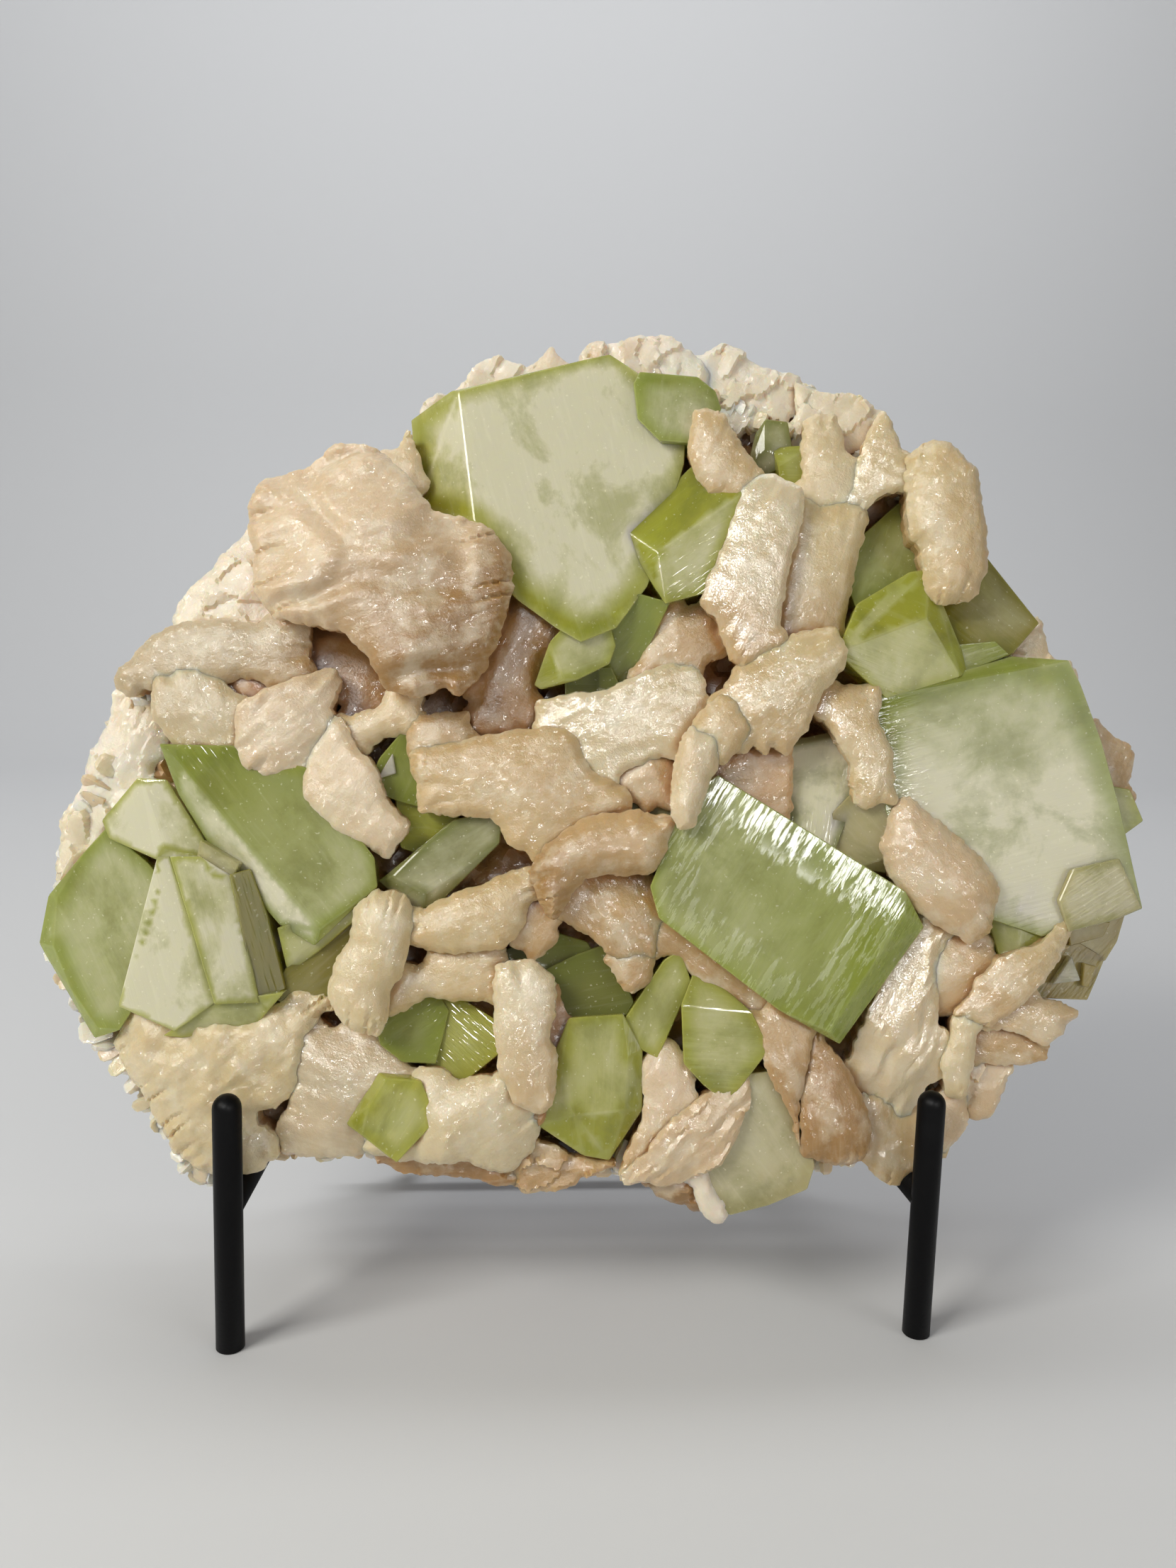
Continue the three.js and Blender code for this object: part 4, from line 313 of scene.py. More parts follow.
# Apophyllite crystals by group: lift of the middle over the plate, tilt, corners of the front in the
# face frame, further corners with how much lower they are, and how the crystal looks. Here a fade says
# how much more milk there is to the right and upwards.
CRYSTALS = (
    ("apophyllite_top", (
        (8, (0, -0.1), ((-36.6, 110.8), (6.1, 121.4), (12.8, 115.1), (25, 105), (26, 90), (17, 56),
          (8, 44), (-2, 40), (-9, 44), (-20, 52), (-29.8, 74.9)),
         ((-50, 102.7, 15), (-38.9, 110.8, 2.5), (-44.4, 78, 14)),
         dict(leaf=LIME, cloud=1.35, border=10, streaks=-76, fade=(0.3, 0.9), tip=-0.4)),
        (9, (-0.05, -0.1), ((12.8, 113), (14.6, 116.4), (31, 115), (36, 111), (36.5, 106), (30, 99),
          (20, 97), (14, 103)),
         (), dict(leaf=LEAF, cloud=0.75, border=6, streaks=80, fade=(0.2, -0.5))),
        (13, (0, 0), ((19.7, 65.3), (41.4, 80), (36.9, 69.4), (31.3, 55.8), (21.9, 50.9)),
         ((29.5, 89.9, 7.4), (10.3, 71.7, 5.3), (14.6, 62.3, 3.5), (19, 55, 1.7)),
         dict(leaf=LIME, cloud=0.65, border=4, streaks=35, fade=(0.4, -0.4), tip=-0.6)),
        (6, (0.1, 0.35), ((12, 49.5), (14.3, 53.8), (22.3, 50.6), (18, 43), (12, 31), (6, 31), (3.8, 41)),
         (), dict(leaf=LEAF, cloud=0.15, streaks=50)),
        (9, (0, 0.1), ((-10.9, 40), (-4.7, 44.3), (3.5, 43), (7.9, 39), (6.1, 33.9), (-3, 29.3),
          (-6.7, 29.5)),
         ((-15.2, 27.9, 4.2), (-13.3, 26.7, 3.6)),
         dict(leaf=LIME, cloud=0.8, border=4, streaks=20, fade=(0.3, 0.2), tip=-0.8)),
        (4, (0, 0.2), ((-4, 30), (1, 31), (1, 25), (-4, 25)), (), dict(leaf=MOSS, cloud=0.1)),
        (4.5, (0.1, 0.2), ((1.5, 31), (6.5, 33), (7.5, 27), (1.5, 26)), (), dict(leaf=MOSS, cloud=0.2)),
    )),
    ("apophyllite_rim_prism", (
        (-1, (0, 0), ((50.1, 103), (56.4, 102.3), (56.4, 92.4), (50.1, 94.3)),
         ((47.3, 99, 3), (47.3, 91.7, 3), (50.1, 89.2, 3)),
         dict(leaf=MOSS, cloud=0.6, border=3, streaks=90)),
        (2, (0, 0), ((53.6, 89.8), (60.9, 93.6), (60, 85.4), (55.5, 86.6)),
         ((52, 95, 4),),
         dict(leaf=LIME, cloud=0.3, border=3)),
    )),
    ("apophyllite_upper_block", (
        (1, (-0.1, -0.2), ((89.8, 79.5), (79.6, 69), (75.1, 61.3), (75.5, 50), (90.4, 58), (95.2, 56.2),
          (94.2, 67.1)),
         (), dict(leaf=LEAF, cloud=0.35, streaks=60, fade=(-0.2, 0))),
        (10, (-0.1, 0.12), ((73.8, 37.9), (95.5, 46.9), (105.1, 30.2), (84.4, 23.9), (76.5, 31)),
         ((75.9, 50.9, 5.0), (90.8, 59.9, 6.2), (95, 57.3, 5.6), (108, 32, 4.1)),
         dict(leaf=LIME, cloud=0.4, border=4, streaks=-20, fade=(-0.3, -0.3), tip=-0.6)),
        (2, (-0.1, -0.15), ((98.7, 50.6), (113, 60.2), (119.7, 54.3), (127.4, 45.4), (119.7, 36.5),
          (104.8, 32)),
         (), dict(leaf=OLIVE, cloud=0.4, streaks=-40, fade=(0.5, 0.3))),
        (4, (0, -0.1), ((101.4, 38.2), (115, 40.3), (119, 36.5), (113, 34.5), (104, 31)),
         (), dict(leaf=LEAF, cloud=0.5, border=3, streaks=20)),
    )),
    ("apophyllite_right_block", (
        (6, (-0.05, 0.02), ((83.3, 22.8), (129, 33.4), (135.8, 35), (139, 28.6), (144.8, 12.7),
          (150, -6), (156.6, -35.2), (149, -38.4), (128, -42), (100, -30), (84, -8)),
         ((106, 31.8, 3), (119.4, 36.1, 4)),
         dict(leaf=LEAF, cloud=1.0, border=10, streaks=14, fade=(0.05, -0.9))),
        (7, (-0.1, 0.1), ((137, -24), (150, -21), (156.4, -35), (149, -38.4), (138, -39), (133, -33)),
         (), dict(leaf=STRAW, cloud=0.7, border=2, streaks=30)),
        (5.5, (-0.2, 0), ((126.2, -27.1), (129.7, -39.2), (124.6, -47.3), (121.5, -48.5), (122, -35)),
         ((116.6, -35.2, 3), (119.6, -29.1, 2), (116.1, -40.2, 3.4), (118.6, -49.3, 2)),
         dict(leaf=LIME, cloud=0.7, border=3, streaks=80, tip=-0.6)),
        (-2, (-0.1, 0), ((143, -1.5), (153, -1.5), (156.8, -10.4), (146, -16)),
         (), dict(leaf=LIME, cloud=0.6, border=4)),
    )),
    ("apophyllite_centre", (
        (12, (0, 0), ((37.3, 1.5), (87.4, -31), (89.5, -36.5), (82.5, -48), (68, -70), (54, -64),
          (20, -38), (17.5, -29), (30, -6)),
         ((94.9, -40.4, 4), (71.1, -73.5, 4)),
         dict(leaf=LEAF, cloud=0.3, border=14, streaks=57, fade=(-0.5, 0), clear=0.3)),
        (2, (0, 0), ((9.6, -8.4), (12.8, -4.2), (20.4, -2.6), (31, -5), (31, -13), (15, -14)),
         (), dict(leaf=MOSS, cloud=0.3, streaks=10)),
    )),
    ("apophyllite_shaded", (
        (3, (0.1, -0.1), ((55, 7.5), (71, 10.5), (75, 3), (74, -6), (69, -17.6), (59.4, -12.6)),
         ((54.6, 9.2, 2), (70.8, 12, 2)),
         dict(leaf=MOSS, cloud=1.3, border=4, streaks=80, fade=(0.3, -0.4))),
        (5, (0.15, 0.1), ((69, -8), (76, -4), (87, -4), (88, -14), (82.8, -19), (76, -21.5), (69, -17)),
         ((84, -25.2, 3),),
         dict(leaf=STRAW, cloud=0.4, border=3, streaks=-50)),
    )),
    ("apophyllite_inner", (
        (4, (0, 0), ((-51.5, 14), (-58.8, 7.5), (-60, 0), (-52.6, -5.2), (-47, -5), (-46, 8)),
         (), dict(leaf=LEAF, cloud=0.15, streaks=70)),
        (5, (0, 0), ((-55.2, 8.7), (-57.8, 3), (-54.2, 3)), (), dict(leaf=VEIL, cloud=1.0, border=0.5)),
        (2, (0, 0), ((-53, 0), (-44, -4), (-36, -10), (-44, -18), (-53, -18)),
         (), dict(leaf=LIME, cloud=0.2)),
        (6, (0, 0), ((-48, -19), (-38.5, -11.2), (-27, -9.3), (-26, -17), (-46, -31), (-55, -26)),
         ((-58, -27, 2.5), (-46, -35, 3)),
         dict(leaf=MOSS, cloud=0.6, border=3, streaks=30, fade=(0.2, -0.3))),
    )),
    ("apophyllite_left", (
        (8, (0.02, 0), ((-116.6, 7.9), (-117, 11), (-100.4, 10.9), (-81.2, 1.8), (-61.5, -20.4),
          (-60.5, -28.5), (-75.7, -41)),
         ((-121.1, 11.4, 1.4), (-115.6, -3.2, 3.2), (-107.5, -16.4, 4.3), (-87.3, -39.6, 4.0),
          (-77.2, -45.7, 2.6)),
         dict(leaf=LEAF, cloud=0.3, border=5, streaks=-52, fade=(0.3, -0.3), tip=0.75)),
        (5, (-0.05, 0), ((-125.7, 0.8), (-119.1, 1.3), (-115.6, -5.3), (-108, -19.4), (-119.6, -17.9)),
         ((-127.2, 1.8, 0.4), (-137.3, -10.3, 5.1), (-135.3, -15.4, 4.9), (-121.6, -21.5, 0.9)),
         dict(leaf=LIME, cloud=1.2, border=1, streaks=-70, tip=0.5)),
        (-1, (0.12, 0), ((-136.3, -14.8), (-124.6, -21.9), (-121.1, -31.5), (-124.1, -40.6),
          (-127, -55), (-133, -66), (-138.5, -69), (-146, -58), (-151, -46), (-150, -32), (-143, -20)),
         ((-152.4, -31.5, 2), (-155, -45, 3), (-139.3, -71.8, 2)),
         dict(leaf=LEAF, cloud=0.6, border=6, streaks=-60, fade=(0.3, 0.1), tip=0.2)),
        (5, (0.1, 0), ((-121.6, -20.4), (-118, -20.4), (-105, -61.8), (-116.6, -69.9), (-132.7, -62.8),
          (-124.1, -40.6), (-121.1, -30.5)),
         (), dict(leaf=LIME, cloud=1.6, border=0.5, streaks=-74)),
        (8, (-0.08, 0), ((-118.1, -20.4), (-109.5, -20.4), (-105.5, -26), (-100.4, -27.5),
          (-92.8, -61.8), (-105.5, -62.3)),
         (), dict(leaf=LIME, cloud=1.1, border=1, streaks=-74, fade=(0, -0.3))),
        (6, (-0.5, 0), ((-101.4, -25.5), (-95.4, -23.9), (-90.3, -37.6), (-85.8, -56.8), (-93.5, -61.8)),
         (), dict(leaf=OLIVE, cloud=0.15, streaks=-74)),
        (5, (0, 0.4), ((-105.5, -61.5), (-92.5, -61), (-85.8, -58.8), (-97.4, -67), (-111.5, -70),
          (-116.6, -69.9)),
         (), dict(leaf=LIME, cloud=0.6, border=2, streaks=10)),
        (8, (0.3, 0.3), ((-109.5, -15.9), (-98.4, -22.4), (-101.9, -25.5), (-108.5, -24.4)), (),
         dict(leaf=STRAW, cloud=0.5, border=1.5, streaks=-30)),
        (4, (0, 0.3), ((-87.8, -40.6), (-84, -53), (-75, -46.5), (-67.1, -38.4), (-70, -36), (-78, -42)),
         (), dict(leaf=LIME, cloud=0.5, border=2, streaks=40)),
        (2, (0, 0.1), ((-84, -52), (-67, -37.5), (-68.2, -44.7), (-73.6, -62), (-80, -61), (-88, -58)),
         (), dict(leaf=OLIVE, cloud=0.25, streaks=40)),
    )),
    ("apophyllite_broken", (
        (1, (-0.1, -0.2), ((-56.9, -68.8), (-45, -60), (-39, -64), (-43, -79), (-52, -77.5),
          (-56.3, -73)),
         (), dict(leaf=LEAF, cloud=0.25, streaks=35)),
        (0.5, (0.15, -0.15), ((-45, -60), (-36.3, -62.5), (-27.5, -68.8), (-27, -74), (-38, -83.5),
          (-44, -79)),
         (), dict(leaf=LIME, cloud=0.2, streaks=-40)),
    )),
    ("apophyllite_wedge", (
        (8, (0.1, 0), ((-62, -91), (-57, -83), (-50, -86), (-43.6, -94.4), (-54.5, -104.6), (-64, -99)),
         ((-68.6, -95.7, 4), (-59, -81.5, 3)),
         dict(leaf=LIME, cloud=0.5, border=5, streaks=55, tip=-0.3)),
    )),
    ("apophyllite_column", (
        (1, (0, -0.1), ((-11.3, -54.4), (-3, -48), (5, -48), (11.9, -61.3), (10, -64.5), (-6.3, -67)),
         (), dict(leaf=MOSS, cloud=0.05, streaks=10)),
        (-2, (0, 0), ((-23.8, -48.8), (-11.3, -44.7), (-1.3, -45), (0, -50), (-10, -54), (-20, -52.5)),
         (), dict(leaf=LEAF, cloud=0.3, streaks=5)),
        (6, (0, 0), ((-5.5, -66), (10, -65), (11.5, -77), (10.6, -92), (-3.8, -93.5), (-6.5, -80)),
         ((15.4, -75, 2.2), (15.4, -92, 2.4), (6, -106.3, 6.5), (-1.3, -105, 5.8), (-12.5, -95, 3.5),
          (-9, -84, 1.4)),
         dict(leaf=LIME, cloud=0.5, border=5, streaks=88, fade=(0.2, 0.2), tip=-0.4)),
    )),
    ("apophyllite_lower_block", (
        (4, (0, 0), ((11.9, -66.3), (21.3, -51), (25, -50), (28.1, -56.3), (26.3, -62.5), (20, -74),
          (15, -75)),
         (), dict(leaf=LIME, cloud=0.6, border=4, streaks=60)),
        (7, (0, 0.05), ((26.3, -62.5), (46.3, -64.4), (48, -73.8), (38.8, -86.9), (32.5, -85), (27, -79)),
         ((30, -52.5, 4.5), (38, -57, 3.8)),
         dict(leaf=LIME, cloud=0.6, border=6, streaks=-5)),
    )),
    ("apophyllite_foot", (
        (3, (0, 0.1), ((44, -83), (51, -83.6), (60, -104.6), (64, -108), (61.9, -114.5), (51, -119),
          (40, -121.8), (33, -109.5)),
         (), dict(leaf=STRAW, cloud=0.55, border=5, streaks=-55, fade=(-0.3, 0.3))),
    )),
    ("apophyllite_stepped", (
        (-7, (-0.1, 0), ((139.4, -39), (149.4, -38.5), (149.4, -44.5), (146, -50), (136, -48)),
         (), dict(leaf=SAND, cloud=0.4, border=4, streaks=45)),
        (-4, (-0.2, 0), ((137, -46), (146, -49), (143.4, -55.5), (141, -61), (126.3, -59.3),
          (133.4, -51.7)),
         (), dict(leaf=SAND, cloud=0.25, border=4, streaks=45)),
        (-5, (-0.1, 0), ((138.5, -40), (146.5, -39.5), (145.6, -43), (138, -44.5)), (),
         dict(leaf=SAND, cloud=0.3, border=2, streaks=45)),
        (-2.8, (-0.2, 0), ((140, -50.5), (143.6, -51.5), (141.4, -57.5), (139.5, -57)), (),
         dict(leaf=SAND, cloud=0.3, border=2, streaks=45)),
        (-2, (-0.1, 0), ((136.5, -48.5), (139.1, -55.5), (131.1, -56.5)), (),
          dict(leaf=VEIL, cloud=1.0, border=1)),
    )),
)

# Rim of the crust behind the blades.
CRUST_OUTLINE = (
    (-90, 84), (-52, 93), (-30, 114), (4, 121), (22, 123), (58, 110), (84, 98), (104, 88), (109, 62),
    (134, 28), (151, -8), (151, -32), (134, -62), (110, -89), (94, -104), (40, -114), (-14, -109),
    (-88, -106.5), (-97, -111), (-107, -110.5), (-118, -98), (-147, -54), (-150, -30), (-128, 28),
    (-100, 60),
)

# Lumps of basalt behind the crystals: lifts of the front and the back, taper, outline.
MATRIX_LUMPS = (
    (-34.5, -59, 0.22, (
        (-99, 54), (-60, 88), (10, 108), (70, 92), (104, 60), (132, 8), (126, -44), (84, -84), (10, -92),
        (-70, -88), (-122, -60), (-136, -10))),
    (-3, -50, 0.3, (
        (-16, -100), (1, -100), (3, -107), (-3.5, -114.3), (-13, -116.7), (-19, -115), (-20, -106))),
    (-34.5, -65, 0.35, (
        (-70, 30), (-20, 64), (50, 60), (88, 10), (70, -50), (0, -70), (-70, -50), (-96, -10))),
)


# The usual whole-number hash: a factor for each column and the seed, then rounds of shift and factor.
HASH_COLUMNS = (73856093, 19349663, 83492791)
HASH_SEED = 40503
HASH_ROUNDS = ((13, 1274126177), (16, 668265263))
HASH_LAST_SHIFT = 15
HASH_KEPT = 0xFFFFFFFF
HASH_STEPS = 0xFFFF
OCTAVE_SEED_STEP = 17


def hashed(cells, seed):
    """Pseudo-random numbers from 0 to 1 for rows of three whole numbers."""
    n = (seed + 1) * HASH_SEED
    for column, factor in enumerate(HASH_COLUMNS):
        n = n ^ cells[:, column] * factor
    for shift, factor in HASH_ROUNDS:
        n = (n ^ (n >> shift)) * factor & HASH_KEPT
    return ((n ^ (n >> HASH_LAST_SHIFT)) & HASH_STEPS) / HASH_STEPS


def noise(places, size, seed):
    """Smooth noise from -1 to 1 at rows of places, with lumps of about the size."""
    if places.shape[1] == 2:
        places = np.column_stack([places, np.zeros(len(places))])
    scaled = places / size
    cells = np.floor(scaled).astype(np.int64)
    part = scaled - cells
    part = part * part * (3 - 2 * part)
    total = np.zeros(len(places))
    for corner in np.ndindex(2, 2, 2):
        weight = np.ones(len(places))
        for axis, step in enumerate(corner):
            weight = weight * (part[:, axis] if step else 1 - part[:, axis])
        total += weight * hashed(cells + np.array(corner), seed)
    return total * 2 - 1


def layered_noise(places, size, octaves, seed):
    """Noise with finer and weaker noise on top of it."""
    total = np.zeros(len(places))
    for octave in range(octaves):
        total += noise(places, size / 2**octave, seed + OCTAVE_SEED_STEP * octave) / 2**octave
    return total


def stretched_noise(along, across, sizes, seed):
    """Noise with lumps of one size along the grain and another across it."""
    return noise(np.column_stack([along / sizes[0], across / sizes[1]]), 1, seed)


def smoothstep(low, high, value):
    t = np.clip((value - low) / (high - low), 0, 1)
    return t * t * (3 - 2 * t)


def box_middle(points):
    return (points.min(0) + points.max(0)) / 2


def box_half(points):
    return (points.max(0) - points.min(0)) / 2


def turned_axes(degrees):
    """Unit vectors along and across a direction in the face, as rows."""
    angle = math.radians(degrees)
    return np.array([[math.cos(angle), math.sin(angle)], [-math.sin(angle), math.cos(angle)]])


def face_out(x, y, lift):
    """Height out of the face frame of a place that is lifted off the plate."""
    return PLATE_LIFT + PLATE_PER_RIGHT * x + PLATE_PER_UP * y + lift


def on_plane(flat, lift, tilt, middle):
    """Heights at which lines of sight through flat places meet a blade's tilted plane."""
    slope = np.array([PLATE_PER_RIGHT + tilt[0], PLATE_PER_UP + tilt[1]])
    level = face_out(middle[0], middle[1], lift)
    lean = flat @ slope
    return (level + lean - np.dot(middle, slope)) / (1 + lean / EYE_DISTANCE)


def seen_at(flat, out):
    """Places at heights out of the face that are seen at the flat places."""
    return np.column_stack([flat * (1 - out / EYE_DISTANCE)[:, None], out])


def to_row(points):
    """Places of the face frame, in millimetres, as places of the part in metres."""
    flat = np.column_stack([points, np.ones(len(points))])
    return (flat @ FACE_ARRAY.T)[:, :3] * MM


CURVE_STEPS = 12
CORNER_CUT = 1.6
# A corner's cut takes at most this share of a side.
CORNER_CUT_SHARE = 0.3
LEAST_POINTS = 8


def curve_through(corners, spacing):
    """Closed smooth line through the corners, with points about the spacing apart."""
    p1 = np.array(corners, float)
    p0, p2, p3 = np.roll(p1, 1, 0), np.roll(p1, -1, 0), np.roll(p1, -2, 0)
    t1 = np.sqrt(np.linalg.norm(p1 - p0, axis=1))[:, None]
    t2 = t1 + np.sqrt(np.linalg.norm(p2 - p1, axis=1))[:, None]
    t3 = t2 + np.sqrt(np.linalg.norm(p3 - p2, axis=1))[:, None]
    rows = []
    for share in np.linspace(0, 1, CURVE_STEPS, endpoint=False):
        t = t1 + (t2 - t1) * share
        a1 = (t1 - t) / t1 * p0 + t / t1 * p1
        a2 = (t2 - t) / (t2 - t1) * p1 + (t - t1) / (t2 - t1) * p2
        a3 = (t3 - t) / (t3 - t2) * p2 + (t - t2) / (t3 - t2) * p3
        b1 = (t2 - t) / t2 * a1 + t / t2 * a2
        b2 = (t3 - t) / (t3 - t1) * a2 + (t - t1) / (t3 - t1) * a3
        rows.append((t2 - t) / (t2 - t1) * b1 + (t - t1) / (t2 - t1) * b2)
    return evenly_spaced(np.stack(rows, 1).reshape(-1, 2), spacing)


def straight_sided(corners, spacing):
    """Closed line with straight sides and each corner cut short, with points about the spacing apart."""
    spots = np.array(corners, float)
    cuts = []
    for other in (np.roll(spots, 1, 0), np.roll(spots, -1, 0)):
        length = np.linalg.norm(other - spots, axis=1)[:, None]
        cuts.append(spots + (other - spots) / length * np.minimum(CORNER_CUT, length * CORNER_CUT_SHARE))
    line = np.stack([cuts[0], (cuts[0] + cuts[1]) / 4 + spots / 2, cuts[1]], 1).reshape(-1, 2)
    return evenly_spaced(line, spacing)


def evenly_spaced(line, spacing):
    """The closed line with new points about the spacing apart."""
    closed = np.vstack([line, line[:1]])
    along = np.concatenate([[0], np.cumsum(np.linalg.norm(np.diff(closed, axis=0), axis=1))])
    count = max(LEAST_POINTS, round(along[-1] / spacing))
    stops = np.linspace(0, along[-1], count, endpoint=False)
    return np.column_stack([np.interp(stops, along, closed[:, k]) for k in (0, 1)])


def outward(line):
    """Unit normals of an anticlockwise closed line, pointing out of it."""
    step = np.roll(line, -1, 0) - np.roll(line, 1, 0)
    normal = np.column_stack([step[:, 1], -step[:, 0]])
    return normal / np.maximum(np.linalg.norm(normal, axis=1), 1e-6)[:, None]


def signed_area(line):
    following = np.roll(line, -1, 0)
    return 0.5 * np.sum(line[:, 0] * following[:, 1] - following[:, 0] * line[:, 1])


# Points that are measured against a line at one time, which keeps the arrays small.
EDGE_BATCH = 4000
FAR = 1e9


def edge_distance(points, line):
    """Distance from each point to a closed line."""
    step = np.roll(line, -1, 0) - line
    length = np.maximum(np.sum(step * step, 1), 1e-9)
    nearest = np.full(len(points), FAR)
    for start in range(0, len(points), EDGE_BATCH):
        some = points[start:start + EDGE_BATCH, None, :]
        t = np.clip(np.sum((some - line) * step, 2) / length, 0, 1)
        gap = np.linalg.norm(some - (line + t[:, :, None] * step), axis=2)
        nearest[start:start + EDGE_BATCH] = gap.min(1)
    return nearest


def inside(points, line):
    """Which points are inside a closed line."""
    found = np.zeros(len(points), bool)
    for (x0, y0), (x1, y1) in zip(line, np.roll(line, -1, 0)):
        if y0 == y1:
            continue
        crosses = (points[:, 1] < y0) != (points[:, 1] < y1)
        found ^= crosses & (points[:, 0] < (x1 - x0) * (points[:, 1] - y0) / (y1 - y0) + x0)
    return found


# Grid of a filled line, in shares of its spacing: row step, width of the jitter, distance from the line.
GRID_ROW_STEP = 0.866
GRID_JITTER = 0.3
GRID_MARGIN = 0.55
# Cells of the jitter's hash in a millimetre.
JITTER_CELLS = 8
# What the triangulation is asked for: triangles inside the line.
TRIANGLES_INSIDE = 1


def filled(line, spacing):
    """Triangles inside a closed line: its own points first, then a jittered grid. Returns both."""
    low, high = line.min(0), line.max(0)
    rows = np.arange(low[1], high[1], spacing * GRID_ROW_STEP)
    x, y = np.meshgrid(np.arange(low[0], high[0], spacing), rows)
    x = x + (np.arange(len(rows)) % 2 * spacing / 2)[:, None]
    grid = np.column_stack([x.ravel(), y.ravel()])
    cells = np.column_stack([np.round(grid * JITTER_CELLS), np.zeros(len(grid))]).astype(np.int64)
    jitter = np.column_stack([hashed(cells, 1), hashed(cells, 2)]) - 0.5
    grid = grid + jitter * spacing * GRID_JITTER
    grid = grid[inside(grid, line)]
    grid = grid[edge_distance(grid, line) > spacing * GRID_MARGIN]
    points = np.vstack([line, grid])
    _, _, faces, origins, _, _ = delaunay_2d_cdt(
        [Vector(p) for p in points], [], [list(range(len(line)))], TRIANGLES_INSIDE, 1e-6
    )
    index = [origin[0] if origin else -1 for origin in origins]
    triangles = [tuple(index[v] for v in face) for face in faces]
    return points, [t for t in triangles if -1 not in t]


def linked(name, data):
    """A new object with the data, in the scene."""
    made = bpy.data.objects.new(name, data)
    bpy.context.scene.collection.objects.link(made)
    return made


def mesh_of(name, body):
    mesh = bpy.data.meshes.new(name)
    body.to_mesh(mesh)
    body.free()
    return mesh


def read_vectors(items, name):
    """The named vector of each item of a mesh, as rows."""
    values = np.empty(len(items) * 3)
    items.foreach_get(name, values)
    return values.reshape(-1, 3)


def shade_smooth(mesh, smooth=True):
    mesh.polygons.foreach_set("use_smooth", [smooth] * len(mesh.polygons))


# A blade's surface is smooth up to this angle and has a crisp edge above it.
CREASE = math.radians(30)


class Shell:
    """Collects closed bodies, with colours and looks at each point, for one mesh object."""

    def __init__(self):
        self.places, self.faces, self.colours, self.looks, self.grains = [], [], [], [], []
        self.count = 0

    def add(self, places, faces, colours, looks, grains):
        self.faces += [tuple(v + self.count for v in face) for face in faces]
        self.places.append(places)
        self.colours.append(colours)
        self.looks.append(looks)
        self.grains.append(grains)
        self.count += len(places)

    def build(self, name, material, smooth=True):
        mesh = bpy.data.meshes.new(name)
        mesh.from_pydata(to_row(np.vstack(self.places)).tolist(), [], self.faces)
        colours = np.column_stack([np.vstack(self.colours), np.ones(self.count)])
        mesh.attributes.new("tint", "FLOAT_COLOR", "POINT").data.foreach_set("color", colours.ravel())
        for label, rows in (("look", self.looks), ("grain", self.grains)):
            layer = mesh.attributes.new(label, "FLOAT_VECTOR", "POINT")
            layer.data.foreach_set("vector", np.vstack(rows).ravel())
        shade_smooth(mesh, smooth)
        if smooth:
            mesh.set_sharp_from_angle(angle=CREASE)
        mesh.materials.append(material)
        return linked(name, mesh)


# In the search for what covers a place: drop of a crystal's lower rim, and lift where nothing stands.
RIM_DROP = 5.0
BARE_LIFT = -12.0
# How far a rim is pushed out under something that stands higher by the margin, and where that is looked for.
TUCK = 3.6
TUCK_REACH = (0.8, 2.0, 3.4)
TUCK_MARGIN = 0.7
TUCK_SMOOTHING = 3


def crystal_corners(front, rim):
    return np.array([*front, *[p[:2] for p in rim]], float)


def ring_of(corners):
    """The corners in the order of their directions from their middle."""
    around = corners - corners.mean(0)
    return corners[np.argsort(np.arctan2(around[:, 1], around[:, 0]))]


def flat_tops():
    """Lift, tilt, middle and outline of every blade and crystal, for finding what covers a place."""
    rows = [(row[1], row[2], row[7]) for row in BLADES]
    for _, group in CRYSTALS:
        for lift, tilt, front, rim, _ in group:
            rows.append((lift, tilt, front))
            rows.append((lift - RIM_DROP, tilt, ring_of(crystal_corners(front, rim))))
    made = []
    for lift, tilt, outline in rows:
        line = np.array(outline, float)
        made.append((lift, np.array(tilt), box_middle(line), line))
    return made


TOPS = flat_tops()


def highest(spots, leave_out=-1):
    """Highest lift over the plate at each spot, of all flat tops but one."""
    lifts = np.full(len(spots), BARE_LIFT)
    for number, (lift, tilt, middle, line) in enumerate(TOPS):
        if number == leave_out:
            continue
        near = np.all((spots > line.min(0)) & (spots < line.max(0)), axis=1)
        if not near.any():
            continue
        some = spots[near]
        top = lift + (some - middle) @ tilt
        lifts[near] = np.where(inside(some, line), np.maximum(lifts[near], top), lifts[near])
    return lifts


def tucked_in(line, lift, tilt, number):
    """The line pushed out where something higher stands close outside it, so that no gap shows there."""
    middle = box_middle(line)
    normal = outward(line)
    reach = np.zeros(len(line))
    for distance in TUCK_REACH:
        spots = line + normal * distance
        own = lift + (spots - middle) @ np.array(tilt)
        reach[highest(spots, number) > own + TUCK_MARGIN] = TUCK
    for _ in range(TUCK_SMOOTHING):
        reach = (np.roll(reach, 1) + 2 * reach + np.roll(reach, -1)) / 4
    return line + normal * reach[:, None]


def tucked_corners(corners, middle, lift, tilt):
    """A crystal's corners, pushed out where something higher stands close outside them."""
    ways = corners - corners.mean(0)
    ways /= np.linalg.norm(ways, axis=1)[:, None]
    for distance in TUCK_REACH:
        spots = corners + ways * distance
        under = highest(spots) > lift + (spots - middle) @ np.array(tilt) + TUCK_MARGIN
        corners[under] += ways[under] * TUCK / len(TUCK_REACH)
    return corners


def drawn_in(line, axes, amount):
    """The line drawn in by an amount along and across its grain, about its middle."""
    turned = line @ axes.T
    middle = box_middle(turned)
    return (middle + (turned - middle) * (1 - amount / box_half(turned))) @ axes


